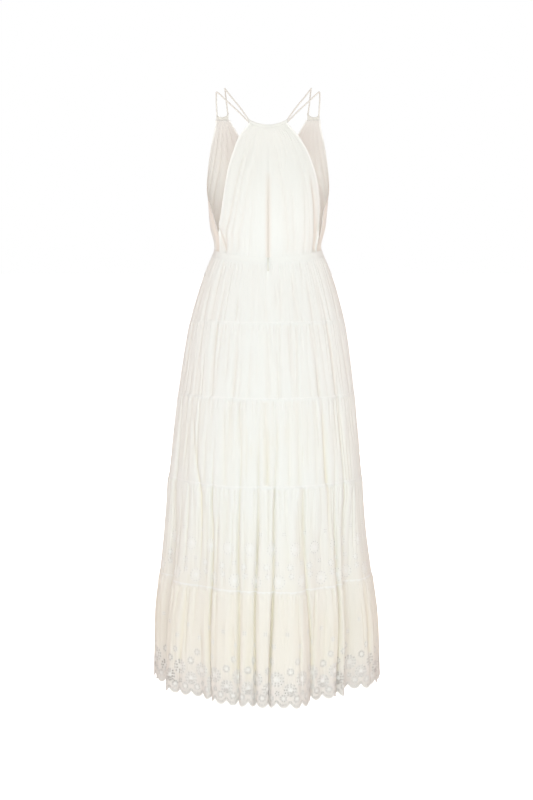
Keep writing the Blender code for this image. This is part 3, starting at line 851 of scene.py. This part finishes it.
def binding_material(colours):
    """Voile folded double round an edge, gathered a little and stitched through."""
    maker = Maker("Ivory voile binding")
    cloth, across, _ = maker.cloth()
    sewn = stitches(across, maker.edge(), 1.3)
    crinkle = maker.noise(cloth, 90.0, 4.0, (2.0, 1.0, 1.0))
    relief = weave(maker, cloth) * 0.35 + crinkle * 1.1 + sewn * 0.35
    # Painted shade in the gathers, with a little random tone, and darker towards the neck
    fold_shade_and_mottle = (maker.attribute("crease") * 0.8 + (crinkle - 0.5) * 0.15).most(0.0).least(1.0)
    flat = maker.by_height(colours.binding, BINDING_NECK_SHADE, colours.neck)
    base = maker.mix(fold_shade_and_mottle, flat, colours.crease)
    normal = maker.bump(relief, BINDING_RELIEF)
    return maker.finish(cloth_shader(maker, base, normal, BINDING_THROUGH, colours))


def rouleau_material(colours):
    """The straps' cloth, cut on the cross: its threads run round the tube at a slant."""
    maker = Maker("Voile rouleau")
    place = maker.place()
    twill = maker.node("ShaderNodeTexWave", {"bands_direction": "DIAGONAL"},
                       {"Vector": place, "Scale": 300.0, "Distortion": 1.2})
    soft = maker.noise(place, 160.0, 3.0)
    normal = maker.bump(twill * 0.15 + soft * 0.5, 0.0002)
    # Painted shade: darker than the voile, with a little random tone
    base = maker.mix(soft.ramp(0.35, 0.75) * 0.1, colours.rouleau, colours.crease)
    front = maker.node("ShaderNodeBsdfPrincipled", None, {
        "Base Color": base, "Roughness": 0.75, "Sheen Weight": 0.15, "Normal": normal})
    return maker.finish(front)


def metal_material(colours):
    """Cream enamel on a small zinc casting, worn a little at its edges."""
    maker = Maker("Cream enamelled metal")
    place = maker.place()
    speckle = maker.noise(place, 900.0, 3.0)
    worn = maker.noise(place, 260.0, 4.0).ramp(0.62, 0.78)
    base = maker.mix(worn * 0.5, colours.metal, WORN_ENAMEL)
    normal = maker.bump(speckle, 0.00006)
    front = maker.node("ShaderNodeBsdfPrincipled", None, {
        "Base Color": base, "Roughness": speckle * 0.12 + 0.26, "Metallic": worn * 0.8,
        "Coat Weight": 0.4, "Normal": normal})
    return maker.finish(front)


# Broderie, all in millimetres. A motif's columns: height of its middle above the lower edge, share of a
# repeat along, radius of its satin disc, size of its eyelets beside the largest, and the number of eyelets
# and the radius of each ring. A repeat is two scallops, or one for the scallops' own motifs.
HEM_MOTIFS = (
    (66.0, 0.00, 4.4, 1.00, ((12, 15.0), (8, 9.4))),
    (43.0, 0.50, 4.0, 1.05, ((11, 13.0), (7, 8.2))),
    (84.0, 0.50, 2.6, 0.80, ((8, 7.0),)),
    (106.0, 0.22, 2.4, 0.62, ((7, 6.0),)),
    (140.0, 0.12, 1.6, 0.45, ((4, 3.8),)),
    (168.0, 0.62, 1.4, 0.45, ((4, 3.6),)),
)
SCALLOP_MOTIFS = (
    (23.0, 0.00, 2.9, 1.00, ((8, 6.8),)),
    (34.0, 0.46, 1.2, 0.90, ((5, 4.2),)),
)
TIER_MOTIFS = (
    (26.0, 0.00, 5.4, 0.45, ((12, 14.0),)),
    (98.0, 0.30, 5.8, 0.42, ((12, 13.4),)),
    (58.0, 0.55, 4.0, 0.42, ((7, 6.8),)),
    (66.0, 0.05, 2.2, 0.40, ((4, 4.0),)),
    (38.0, 0.50, 3.4, 0.42, ((5, 5.6),)),
    (132.0, 0.78, 1.8, 0.40, ((4, 3.8),)),
)
BORDER_EYELETS = 5    # eyelets that follow the edge of each scallop
BORDER_INSIDE = 8.0   # how far inside the edge they are
CORD_INSIDE = 5.2     # how far inside the edge the stitched cord is
CORD_HALF = 0.6       # half the cord's width
EYELET_WALL = 0.70    # how much of an eyelet's radius is its shaded wall
RIM_HALF = 0.60       # half the width of the stitched rim round an eyelet
MOTIF_MARGIN = 2.4    # how far the worked ground runs past a motif's outer ring


def motif(across, up, repeat, eyelet, row):
    """Distances in millimetres to a motif's nearest eyelet's edge, its satin disc's edge and its rim."""
    middle, part, disc, size, rings = row
    x = across.within(repeat, part)
    y = up - middle
    out = distance(x, y)
    angle = y.math("ARCTAN2", x)
    holes = []
    for count, radius in rings:
        turn = angle.within(2.0 * math.pi / count)
        holes.append(distance(out * turn.math("COSINE") - radius, out * turn.math("SINE")))
    return reduce(Flow.least, holes) - eyelet * size, out - disc, out - rings[0][1] - MOTIF_MARGIN


def worked_motifs(across, up, sizes, motifs, scallop_motifs):
    """Distances in millimetres to the nearest of all eyelets' and satin discs' edges and motifs' rims."""
    scallop = 1000.0 * sizes.scallop
    rows = [(2.0 * scallop, row) for row in motifs] + [(scallop, row) for row in scallop_motifs]
    found = [motif(across, up, repeat, 1000.0 * sizes.eyelet, row) for repeat, row in rows]
    return [reduce(Flow.least, distances) for distances in zip(*found)]


def scalloped_edge(across, up, sizes):
    """The hem's edge: distance in millimetres to its eyelets' edges, its stitched border and its cord."""
    scallop = 1000.0 * sizes.scallop
    beside = abs(across.within(scallop)) * (2.0 / scallop)
    inside = up - beside.math("POWER", SCALLOP_POWER) * (1000.0 * sizes.scallop_depth)
    holes = distance(across.within(scallop / BORDER_EYELETS), inside - BORDER_INSIDE)
    return holes - 1000.0 * sizes.eyelet, inside.ramp(3.2, 2.4), inside.line(CORD_INSIDE, CORD_HALF)


def broderie_material(colours, sizes, name, motifs, scallop_motifs=()):
    """Voile worked with eyelets and satin discs, and with a stitched scalloped edge if it has scallops."""
    maker = Maker(name)
    cloth, across, up = maker.cloth()
    holes, discs, grounds = worked_motifs(across, up, sizes, motifs, scallop_motifs)
    ribs = (across * 2.2).math("SINE") * 0.25 + 0.75
    thread = discs.ramp(0.6, -0.8)
    worked = thread * ribs
    base = cloth_base(maker, colours, cloth)
    if scallop_motifs:
        edge_holes, border, cord = scalloped_edge(across, up, sizes)
        holes = holes.least(edge_holes)
        thread = thread.most(border).most(cord * 0.8)
        worked = worked.most(border * ribs).most(cord)
        # Painted shade: the ground darker towards the scalloped edge
        base = maker.mix(up.ramp(95.0, 25.0) * 0.85, base, colours.worked)
    rim = holes.line(0.50, RIM_HALF)
    thread = thread.most(rim.ramp(0.1, 0.6))
    band, relief = voile_surface(maker, cloth, across, sizes)
    white = (grounds.ramp(0.5, -1.0) * 0.45).most(band).most(thread * 0.9)
    base = maker.mix(white, base, colours.thread)
    base = maker.mix(holes < 0.0, base, colours.shade)
    normal = maker.bump(relief + worked.most(rim) * 0.6, VOILE_RELIEF)
    shader = cloth_shader(maker, base, normal, VOILE_THROUGH, colours)
    clear = maker.node("ShaderNodeBsdfTransparent")
    pierced = maker.node("ShaderNodeMixShader", None, {0: holes < -EYELET_WALL, 1: shader, 2: clear})
    return maker.finish(pierced)


# --- pieces ---------------------------------------------------------------------------------------------

def tier_gathers(number, across, down, width):
    """Depth of a tier's fine gathers and long creases."""
    tier = TIERS[number]
    return (gather_run(across, down, width, tier.gathers)
            + long_creases(across, down, width, LONG_SEED + number, tier.long_depth))


def seam_height(number, across):
    """Height of the seam below a tier, uneven by about a millimetre."""
    return TIERS[number].bottom + wander(across, SEAM_SEED + number, SEAM_WANDER, (3, 7, 13, 22))


def make_tier(number, sizes, material):
    """A gathered tier of the skirt, all round, its top run up inside the seam above."""
    tier = TIERS[number]
    bearings, width = ring_columns(tier.bottom)
    last = number == len(TIERS) - 1
    scallops = 2 * round(width / (2.0 * sizes.scallop))

    def place(across, up):
        bearing = bearings(across)
        share_down = 1.0 - up
        share_down = share_down - EDGE_ROWS * np.sin(2.0 * math.pi * share_down) / (2.0 * math.pi)
        if tier.top is None:
            start = waist_edge(bearing) - BAND_HEIGHT
        else:
            start = seam_height(number - 1, bearing / 360.0)
        if last:
            beside = ((across * scallops) % 1.0 - 0.5) * 2.0
            end = tier.bottom + sizes.scallop_depth * np.abs(beside) ** SCALLOP_POWER
        else:
            end = seam_height(number, bearing / 360.0) - LAP
        height = between(start + TUCK, end, share_down)
        down = start - height
        above = height - end
        folds, shade_marks = fold_depth(bearing, height)
        gathers = tier_gathers(number, across, down, width)
        if not last:
            gathers = gathers * smooth_step((above + 0.002) / 0.012)
        out = -folds - lobe_depth(bearing, height) - gathers
        settled = np.exp(-np.maximum(down - PUFF_RISE, 0.0) / PUFF_FALL)
        out = out + tier.puff * smooth_step(down / PUFF_RISE) * settled
        out = out - DRAWN_IN * (1.0 - smooth_step(down / 0.0015))
        if last:
            edge = np.full_like(across, 1.0)
            out = out + wander(across, FLARE_SEED, FLARE, (9, 14, 23, 31)) * np.exp(-above / FLARE_REACH)
        else:
            edge = above
            next_gathers = TIERS[number + 1].gathers._replace(depth=PUCKER, reach=0.05)
            pucker = gather_run(bearing / 360.0, np.full_like(across, 0.008), width, next_gathers)
            out = out - pucker * np.exp(-above / PUCKER_REACH)
        cloth = np.stack([across * scallops * sizes.scallop, height - tier.bottom], axis=-1)
        # Painted shade in the folds and gathers
        shade_marks = np.clip(shade_marks + gathers / tier.full_mark, 0.0, 1.0)
        return form(bearing, height, out), cloth, shade_marks, edge

    mesh = weld(tier.name, lay_cloth(tier.name, tier.columns, tier.rows, place))
    slot = "broderie" if number >= BRODERIE_FROM else "voile"
    piece = new_piece(tier.name + "_cloth", mesh, [material], sizes.wall,
                      nodes=(tier.name,))
    return piece


def panel_rows(table, columns, ends):
    """Columns of a panel's table, from the waist up, with the values it leaves open filled in."""
    rows = [list(row) for row in table]
    for row, column, value in ends:
        rows[row][column] = value
    return [np.array([row[column] for row in rows], float) for column in columns]


def back_rows(side_name):
    """Inner height, side height, half width and slit of a back panel's rows."""
    top = BACK_NECK - BACK_BINDING_HEIGHT - SEAM
    half = 2 if side_name == "left" else 3
    ends = (
        (0, 0, float(waist_edge(0.0)) + SEAM),
        (0, 1, float(waist_edge(bearing_at(BACK_ROWS[0][half], WAIST_TOP))) + SEAM),
        (1, 1, ARMHOLE_BOTTOM[side_name]),
        (-1, 0, top),
        (-1, 1, top + BACK_NECK_RISE),
    )
    return panel_rows(BACK_ROWS, (0, 1, half, 4), ends)


def near_end(away, times):
    """1 at a panel's end, down to 0 at one of so many equal shares of its height away."""
    return np.clip(1.0 - away * times, 0.0, 1.0)


def turned_lift(edge, sizes):
    """How far the cloth stands out where it is turned in double at a bare edge."""
    return TURNED_LIFT * smooth_step((sizes.turned_edge + 0.0010 - edge) / 0.0012)


def panel_folds(table, along, half, up, bend, fade):
    """Depth of a panel's long soft folds: bend curves their run, fade is the share over which they end."""
    depth = np.zeros_like(along)
    for low_share, high_share, most, half_width, end in table:
        centre = between(low_share, high_share, up ** bend) * half
        strength = smooth_step(up / 0.10) * smooth_step((end - up) / fade)
        depth = depth + most * strength * crease(along - centre, half_width)
    return depth


def ends_drawn_in(*distances):
    """How far a panel lies behind the bindings at its ends."""
    return DRAWN_IN * sum(1.0 - smooth_step(away / 0.0030) for away in distances)


def make_back(side_name, side, sizes, material):
    """A half of the back, from the slit to the side, gathered at the waist and into the neck binding."""
    inner_heights, outer_heights, halves, slits = back_rows(side_name)
    knots = np.linspace(0.0, 1.0, len(halves))
    top = inner_heights[-1] - inner_heights[0]

    def place(across, up):
        inner_height = smooth_run(knots, inner_heights, up)
        outer_height = smooth_run(knots, outer_heights, up)
        half = smooth_run(knots, halves, up)
        inner = bearing_at(SLIT_SHARE * np.interp(up, knots, slits), inner_height)
        bearing = between(inner, bearing_at(half, outer_height), across)
        high = near_end(1.0 - up, 8.0)
        height = between(inner_height, outer_height, across + high * (across ** 2 - across))
        height = between(height, waist_edge(bearing) - TUCK, near_end(up, 8.0)) + TUCK * high ** 4
        from_waist = up * top - TUCK
        from_neck = (1.0 - up) * top - TUCK
        along = across * half
        side_edge = half * (1.0 - across)
        folds = gather_run(across, from_neck, BACK_SPREAD, BACK_AT_NECK, side)
        folds = folds + gather_run(across, from_waist, BACK_SPREAD, BACK_AT_WAIST, side)
        folds = folds + panel_folds(BACK_FOLDS[side_name], along, half, up, 1.2, 0.25)
        folds = folds * np.where(side_edge < 0.02, 1.0, smooth_step(along / 0.010))
        out = turned_lift(side_edge, sizes) + SLIT_CURL * np.exp(-along / 0.012) - folds
        point = form(bearing, height, out - ends_drawn_in(from_waist, from_neck))
        point[:, 0] *= side
        if side > 0:
            turned = smooth_step((up - 0.125) / 0.08) * smooth_step((0.60 - up) / 0.25)
            beyond = np.maximum(across - TURNED_FROM, 0.0)
            inwards = TURNED_FOLD * smooth_step(beyond / TURNED_OVER) + TURNED_SLANT * beyond
            point[:, 1] += turned * inwards
        cloth = np.stack([side * along, height - WAIST_TOP], axis=-1)
        # Painted shade: darker in the folds and gathers and along the slit
        slit_shade = np.exp(-(along / 0.0034) ** 2) * smooth_step((0.62 - up) / 0.10)
        shade_marks = np.clip(folds / BACK_SHADE_FULL, 0.0, 1.0) ** 1.5 + slit_shade
        return point, cloth, np.clip(shade_marks, 0.0, 1.0), side_edge

    name = "bodice_back_" + side_name
    mesh = lay_cloth(name, *BACK_GRID, place, mirrored=side < 0)
    piece = new_piece(name + "_cloth", mesh, [material], sizes.wall, nodes=(name,))
    return piece


def front_half(side_name, side, sizes):
    """A half of the front, from its middle and V to its side seam and armhole, and how tall it is."""
    _, back_outer, back_halves, _ = back_rows(side_name)
    seam = [float(bearing_at(back_halves[row], back_outer[row])) + SIDE_GAP for row in (0, 1)]
    ends = (
        (0, 1, float(waist_edge(180.0)) + SEAM),
        (0, 2, seam[0]), (1, 2, seam[1]),
        (0, 3, back_outer[0]), (1, 3, back_outer[1]),
        (-1, 1, PEAK_BOTTOM - SEAM), (-1, 3, PEAK_BOTTOM - SEAM),
    )
    v_halves, inner_heights, outers, outer_heights = panel_rows(FRONT_ROWS, (0, 1, 2, 3), ends)
    knots = np.linspace(0.0, 1.0, len(outers))
    tall = inner_heights[-1] - inner_heights[0]

    def place(across, up):
        v_half = np.interp(up, knots, v_halves)
        inner_height = np.interp(up, knots, inner_heights)
        outer = smooth_run(knots, outers, up)
        outer_height = smooth_run(knots, outer_heights, up)
        inner = 180.0 - bearing_at(v_half, inner_height)
        bearing = between(inner, outer, across)
        height = between(inner_height, outer_height, across)
        height = between(height, waist_edge(bearing) - TUCK, near_end(up, 7.0))
        height = height + TUCK * near_end(1.0 - up, 8.0) ** 4
        spread = form(outer, outer_height) - form(inner, inner_height)
        half = np.linalg.norm(spread, axis=-1) * FRONT_EASE
        from_waist = up * tall - TUCK
        from_peak = (1.0 - up) * tall - TUCK
        along = across * half
        folds = gather_run(across, from_waist, FRONT_SPREAD, FRONT_AT_WAIST, side)
        folds = folds + (gather_run(across, from_peak, FRONT_SPREAD, FRONT_AT_PEAK, side)
                         * smooth_step((up - 0.4) / 0.3))
        folds = folds + panel_folds(FRONT_FOLDS, along, half, up, 1.0, 0.10)
        quiet = np.where(up < FRONT_V, smooth_step(along / 0.012), 1.0)
        from_v = np.where(up > FRONT_V, along, 1.0)
        from_armhole = np.where(up > knots[1], (1.0 - across) * half, 1.0)
        edge = np.minimum(from_v, from_armhole)
        out = turned_lift(edge, sizes) - folds * quiet - ends_drawn_in(from_waist, from_peak)
        point = form(bearing, height, out)
        point[:, 0] *= side
        cloth = np.stack([side * along, height - WAIST_TOP], axis=-1)
        # Painted shade: darker in the folds and gathers and beside the side seam below the armhole
        side_seam_shade = smooth_step((across - 0.84) / 0.10) * smooth_step((0.6 - up) / 0.2)
        return point, cloth, np.clip(folds / FRONT_SHADE_FULL + side_seam_shade, 0.0, 1.0), edge

    return lay_cloth("front_half", *FRONT_GRID, place, mirrored=side > 0), tall


def make_front(sizes, materials):
    """The front, its two halves joined down the middle below the V."""
    (left, tall), (right, _) = (front_half(side_name, side, sizes) for side_name, side in SIDES)
    mesh = weld("bodice_front", left, right)
    piece = new_piece("bodice_front_cloth", mesh, materials, sizes.wall,
                      nodes=("bodice_front",))
    return piece


def thread_gathers(across, width, gathers, step=0):
    """The gathers of a binding, near enough its thread to be at their full depth."""
    return gather_run(across, np.full_like(across, BINDING_DOWN), width, gathers, step)


def band_edge(up, height):
    """Distance to the nearer edge of a band."""
    return np.minimum(up, 1.0 - up) * height


def make_waistband(sizes, material):
    """The narrow waistband, open at centre back for the zip."""
    gap = float(bearing_at(ZIP_GAP / 2.0, WAIST_TOP))
    _, width = ring_columns(WAIST_TOP - BAND_HEIGHT)

    def place(across, up):
        bearing = between(gap, 360.0 - gap, across)
        height = waist_edge(bearing) - BAND_HEIGHT * (1.0 - up)
        below = thread_gathers(across, width, TIERS[0].gathers._replace(depth=0.0009, reach=0.05))
        above = thread_gathers(across, width, ABOVE_WAISTBAND)
        ripple = below * np.exp(-up / 0.30) + above * np.exp(-(1.0 - up) / 0.25)
        crown = 0.0002 * (1.0 - (2.0 * up - 1.0) ** 4)
        cloth = np.stack([across * width, up * BAND_HEIGHT], axis=-1)
        # Painted shade in the gathers
        shade_marks = np.clip(ripple / BINDING_SHADE_FULL, 0.0, 1.0)
        return form(bearing, height, crown - ripple), cloth, shade_marks, band_edge(up, BAND_HEIGHT)

    mesh = lay_cloth("waistband", *WAISTBAND_GRID, place)
    piece = new_piece("waistband_cloth", mesh, [material], sizes.binding_wall,
                      nodes=("waistband",))
    return piece


def neck_height(x):
    """Height of the back neck's top edge, x away from the middle."""
    return BACK_NECK + BACK_NECK_RISE * (x / BACK_NECK_HALF) ** 2


def make_neck_binding(sizes, material):
    """The curved binding that the back is gathered into."""
    def place(across, up):
        x = between(-BACK_NECK_HALF - NECK_OVERHANG, BACK_NECK_HALF + NECK_OVERHANG, across)
        height = neck_height(x) - BACK_BINDING_HEIGHT * (1.0 - up)
        bearing = np.sign(x) * bearing_at(np.abs(x), height)
        ripple = thread_gathers(across, NECK_GATHERED, IN_NECK_BINDING)
        ripple = ripple * (0.35 + 0.65 * np.exp(-up / 0.35))
        crown = 0.0005 * (1.0 - (2.0 * up - 1.0) ** 4)
        cloth = np.stack([x, up * BACK_BINDING_HEIGHT], axis=-1)
        # Painted shade in the gathers
        shade_marks = np.clip(ripple / BINDING_SHADE_FULL, 0.0, 1.0)
        return form(bearing, height, crown - ripple), cloth, shade_marks, band_edge(up, BACK_BINDING_HEIGHT)

    mesh = lay_cloth("back_neck_binding", *NECK_BINDING_GRID, place)
    piece = new_piece("back_neck_binding_cloth", mesh, [material], sizes.binding_wall,
                      nodes=("back_neck_binding",))
    return piece


def make_peak_band(side_name, side, sizes, material):
    """The bound top of a front peak, drawn up into small lumps by its gathering thread."""
    xs, tops = np.array(PEAK_TOP).T
    knots = np.linspace(0.0, 1.0, len(xs))
    width = float(xs[-1] - xs[0]) * PEAK_BAND_EASE

    def place(across, up):
        x = smooth_run(knots, xs, across)
        height = between(PEAK_BOTTOM, smooth_run(knots, tops, across), up)
        bearing = 180.0 - bearing_at(x, np.full_like(x, PEAK_BOTTOM))
        ripple = thread_gathers(across, width, IN_PEAK_BAND, side)
        crown = 0.0010 * np.sqrt(np.clip(1.0 - (2.0 * up - 1.0) ** 2, 0.0, 1.0))
        lump = wander(across * 0.7, PEAK_LUMP_SEED, PEAK_LUMP, (3, 5, 9))
        point = form(bearing, height, crown - ripple + lump)
        point[:, 0] *= side
        cloth = np.stack([side * across * width, up * PEAK_BAND_HEIGHT], axis=-1)
        # Values for painted shade: a base, and more in the gathers
        shade_marks = np.clip(0.35 + ripple / PEAK_BAND_SHADE_FULL, 0.0, 1.0)
        return point, cloth, shade_marks, band_edge(up, PEAK_BAND_HEIGHT)

    name = "front_band_" + side_name
    mesh = lay_cloth(name, *PEAK_BAND_GRID, place, mirrored=side > 0)
    piece = new_piece(name + "_cloth", mesh, [material], sizes.binding_wall, nodes=(name,))
    return piece


def through(points, part):
    """A point at a share of the way along a smooth curve through the points."""
    knots = np.arange(len(points), dtype=float)
    columns = np.array(points, float).T
    return [float(smooth_run(knots, column, np.array(part * knots[-1]))) for column in columns]


def make_strap(side_name, side, strap, points, sizes, material):
    """A rouleau: a soft tube, a little uneven, with its ends run into the bindings."""
    name = f"strap_{side_name}_{strap}"
    curve = bpy.data.curves.new(name, "CURVE")
    curve.dimensions = "3D"
    curve.bevel_depth = sizes.strap / 2.0
    curve.bevel_resolution = 4
    curve.use_fill_caps = True
    line = curve.splines.new("POLY")
    line.points.add(STRAP_STEPS - 1)
    for index, point in enumerate(line.points):
        part = index / (STRAP_STEPS - 1)
        x, y, z = through(points, part)
        point.co = (side * x, y, z, 1.0)
        point.radius = 1.0 + 0.02 * math.sin(46.0 * part + side)
    guide = bpy.data.objects.new(name, curve)
    bpy.context.scene.collection.objects.link(guide)
    mesh = bpy.data.meshes.new_from_object(guide.evaluated_get(bpy.context.evaluated_depsgraph_get()))
    bpy.data.objects.remove(guide, do_unlink=True)
    mesh.name = name
    return new_piece(name + "_rouleau", weld(name, mesh), [material], nodes=(name,))


# --- operators ------------------------------------------------------------------------------------------

class Builder:
    """What the operators that build pieces share."""

    bl_options = {"REGISTER", "UNDO"}

    @staticmethod
    def settings(context):
        return context.scene.dress_sizes, context.scene.dress_colours

    @staticmethod
    def material(name, make):
        """The material of a name, made the first time it is asked for."""
        return bpy.data.materials.get(name) or make()


class DRESS_OT_skirt(Builder, bpy.types.Operator):
    """Build the five gathered tiers of the skirt"""

    bl_idname = "dress.skirt"
    bl_label = "Skirt tiers"

    def execute(self, context):
        sizes, colours = self.settings(context)
        voile = self.material("Ivory cotton voile", lambda: voile_material(colours, sizes))
        upper = broderie_material(colours, sizes, "Broderie voile", TIER_MOTIFS)
        hem = broderie_material(colours, sizes, "Scalloped broderie voile", HEM_MOTIFS, SCALLOP_MOTIFS)
        for number, cloth in enumerate([voile] * BRODERIE_FROM + [upper, hem]):
            make_tier(number, sizes, cloth)
        return {"FINISHED"}


class DRESS_OT_bodice(Builder, bpy.types.Operator):
    """Build the bodice's back panels and its V-necked front"""

    bl_idname = "dress.bodice"
    bl_label = "Bodice"

    def execute(self, context):
        sizes, colours = self.settings(context)
        voile = self.material("Ivory cotton voile", lambda: voile_material(colours, sizes))
        # The back gets painted shade, darker towards its neck
        back = voile_material(colours, sizes, "Voile, back", (BACK_NECK_SHADE, colours.neck))
        for side_name, side in SIDES:
            make_back(side_name, side, sizes, back)
        # The front's inside gets painted shade, darker towards its peaks
        inside = voile_material(colours, sizes, "Voile, inside of the front", (INSIDE_FRONT_SHADE, colours.close))
        make_front(sizes, [voile, inside])
        return {"FINISHED"}


class DRESS_OT_bindings(Builder, bpy.types.Operator):
    """Build the waistband, the back neck binding and the front peaks' bands"""

    bl_idname = "dress.bindings"
    bl_label = "Bindings"

    def execute(self, context):
        sizes, colours = self.settings(context)
        binding = self.material("Ivory voile binding", lambda: binding_material(colours))
        make_waistband(sizes, binding)
        make_neck_binding(sizes, binding)
        # The peak bands take the straps' darker colour, painted shade
        rouleau = self.material("Voile rouleau", lambda: rouleau_material(colours))
        for side_name, side in SIDES:
            make_peak_band(side_name, side, sizes, rouleau)
        return {"FINISHED"}


class DRESS_OT_straps(Builder, bpy.types.Operator):
    """Build the four rouleau straps"""

    bl_idname = "dress.straps"
    bl_label = "Straps"

    def execute(self, context):
        sizes, colours = self.settings(context)
        rouleau = self.material("Voile rouleau", lambda: rouleau_material(colours))
        for side_name, side in SIDES:
            for strap, points in STRAPS.items():
                make_strap(side_name, side, strap, points, sizes, rouleau)
        return {"FINISHED"}


class DRESS_OT_zip(Builder, bpy.types.Operator):
    """Finish the zip's slider and pull tab"""

    bl_idname = "dress.zip"
    bl_label = "Zip"

    def execute(self, context):
        _, colours = self.settings(context)
        metal = self.material("Cream enamelled metal", lambda: metal_material(colours))
        for name in ("zip_slider", "zip_pull_tab"):
            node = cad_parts[name]
            node.data.materials.clear()
            node.data.materials.append(metal)
        return {"FINISHED"}


class DRESS_OT_stage(bpy.types.Operator):
    """Set the plain floor, the soft lights and the camera"""

    bl_idname = "dress.stage"
    bl_label = "Stage"

    def execute(self, context):
        settings = context.scene.dress_stage
        make_floor(settings)
        make_lights(settings)
        make_surround(settings)
        make_camera()
        context.scene.view_settings.view_transform = "Standard"
        return {"FINISHED"}


def make_floor(settings):
    """A plain pale floor a little below the hem, which lights nothing."""
    shape = bmesh.new()
    bmesh.ops.create_grid(shape, x_segments=1, y_segments=1, size=30.0,
                          matrix=Matrix.Translation((0.0, 0.0, HEM - settings.floor_drop)))
    mesh = bpy.data.meshes.new("floor")
    shape.to_mesh(mesh)
    shape.free()
    maker = Maker("Pale floor")
    base = maker.mix(maker.noise(maker.place(), 1.5), *FLOOR_TINTS)
    matt = maker.node("ShaderNodeBsdfPrincipled", None, {
        "Base Color": base, "Roughness": 0.9, "Emission Color": (*WHITE, 1.0),
        "Emission Strength": FLOOR_GLOW})
    mesh.materials.append(maker.finish(matt))
    floor = bpy.data.objects.new("floor", mesh)
    floor.visible_diffuse = False
    bpy.context.scene.collection.objects.link(floor)


def soft_light(name, place, aim, size, power, tint=WHITE):
    light = bpy.data.lights.new(name, "AREA")
    light.shape = "RECTANGLE"
    light.size, light.size_y = size
    light.energy = power
    light.color = tint
    lamp = bpy.data.objects.new(name, light)
    lamp.location = place
    lamp.rotation_euler = (Vector(aim) - Vector(place)).to_track_quat("-Z", "Y").to_euler()
    bpy.context.scene.collection.objects.link(lamp)


def make_lights(settings):
    """Large soft lights behind, before and above the dress, and a small one at each side."""
    middle = (0.0, 0.0, HEM / 2.0)
    hip = (0.0, 0.0, -0.50)
    soft_light("front_light", (0.0, -4.2, -0.8), middle, (2.6, 2.6), settings.key, KEY_TINT)
    for side_name, side in SIDES:
        place = (1.5 * side, -0.7, -0.15)
        soft_light(side_name + "_light", place, hip, (0.8, 0.8), settings.fill, SIDE_TINT)
    soft_light("far_light", (0.3, 4.2, -0.4), middle, (3.2, 3.0), settings.far, FAR_TINT)
    soft_light("top_light", (0.0, -0.4, 3.4), middle, (3.0, 3.0), settings.top)


def make_surround(settings):
    """A pale room: white where it is seen, softer as a light."""
    world = bpy.data.worlds.new("Pale room")
    bpy.context.scene.world = world
    world.use_nodes = True
    tree = world.node_tree
    tree.nodes.clear()
    path = tree.nodes.new("ShaderNodeLightPath")
    seen = tree.nodes.new("ShaderNodeBackground")
    lit = tree.nodes.new("ShaderNodeBackground")
    lit.inputs["Strength"].default_value = settings.surround
    mixer = tree.nodes.new("ShaderNodeMixShader")
    output = tree.nodes.new("ShaderNodeOutputWorld")
    seen.inputs["Color"].default_value = (*WHITE, 1.0)
    lit.inputs["Color"].default_value = (*ROOM_TINT, 1.0)
    tree.links.new(path.outputs["Is Camera Ray"], mixer.inputs[0])
    tree.links.new(lit.outputs[0], mixer.inputs[1])
    tree.links.new(seen.outputs[0], mixer.inputs[2])
    tree.links.new(mixer.outputs[0], output.inputs["Surface"])


def make_camera():
    """The camera, facing the back of the dress from a little above its middle."""
    lens = bpy.data.cameras.new("camera")
    lens.lens = LENS
    camera = bpy.data.objects.new("camera", lens)
    camera.location = CAMERA_PLACE
    camera.rotation_euler = Euler((math.radians(90.0 - CAMERA_DOWN), 0.0, 0.0))
    bpy.context.scene.collection.objects.link(camera)
    bpy.context.scene.camera = camera


OPERATORS = (DRESS_OT_stage, DRESS_OT_skirt, DRESS_OT_bodice, DRESS_OT_bindings, DRESS_OT_straps,
             DRESS_OT_zip)
SETTINGS = (("dress_sizes", DressSizes), ("dress_colours", DressColours), ("dress_stage", StageSettings))


class DRESS_PT_panel(bpy.types.Panel):
    """The dress's settings and its builders, in the sidebar"""

    bl_label = "Tiered maxi dress"
    bl_space_type = "VIEW_3D"
    bl_region_type = "UI"
    bl_category = "Dress"

    def draw(self, context):
        for attribute, group in SETTINGS:
            box = self.layout.box()
            for key in group.__annotations__:
                box.prop(getattr(context.scene, attribute), key)
        for operator in OPERATORS:
            self.layout.operator(operator.bl_idname)


def register():
    for attribute, group in SETTINGS:
        bpy.utils.register_class(group)
        setattr(bpy.types.Scene, attribute, bpy.props.PointerProperty(type=group))
    for item in (*OPERATORS, DRESS_PT_panel):
        bpy.utils.register_class(item)


def unregister():
    for item in (DRESS_PT_panel, *reversed(OPERATORS)):
        bpy.utils.unregister_class(item)
    for attribute, group in reversed(SETTINGS):
        delattr(bpy.types.Scene, attribute)
        bpy.utils.unregister_class(group)


def main():
    """Build the dress and its stage."""
    register()
    bpy.ops.dress.stage()
    bpy.ops.dress.skirt()
    bpy.ops.dress.bodice()
    bpy.ops.dress.bindings()
    bpy.ops.dress.straps()
    bpy.ops.dress.zip()


if __name__ == "__main__":
    main()
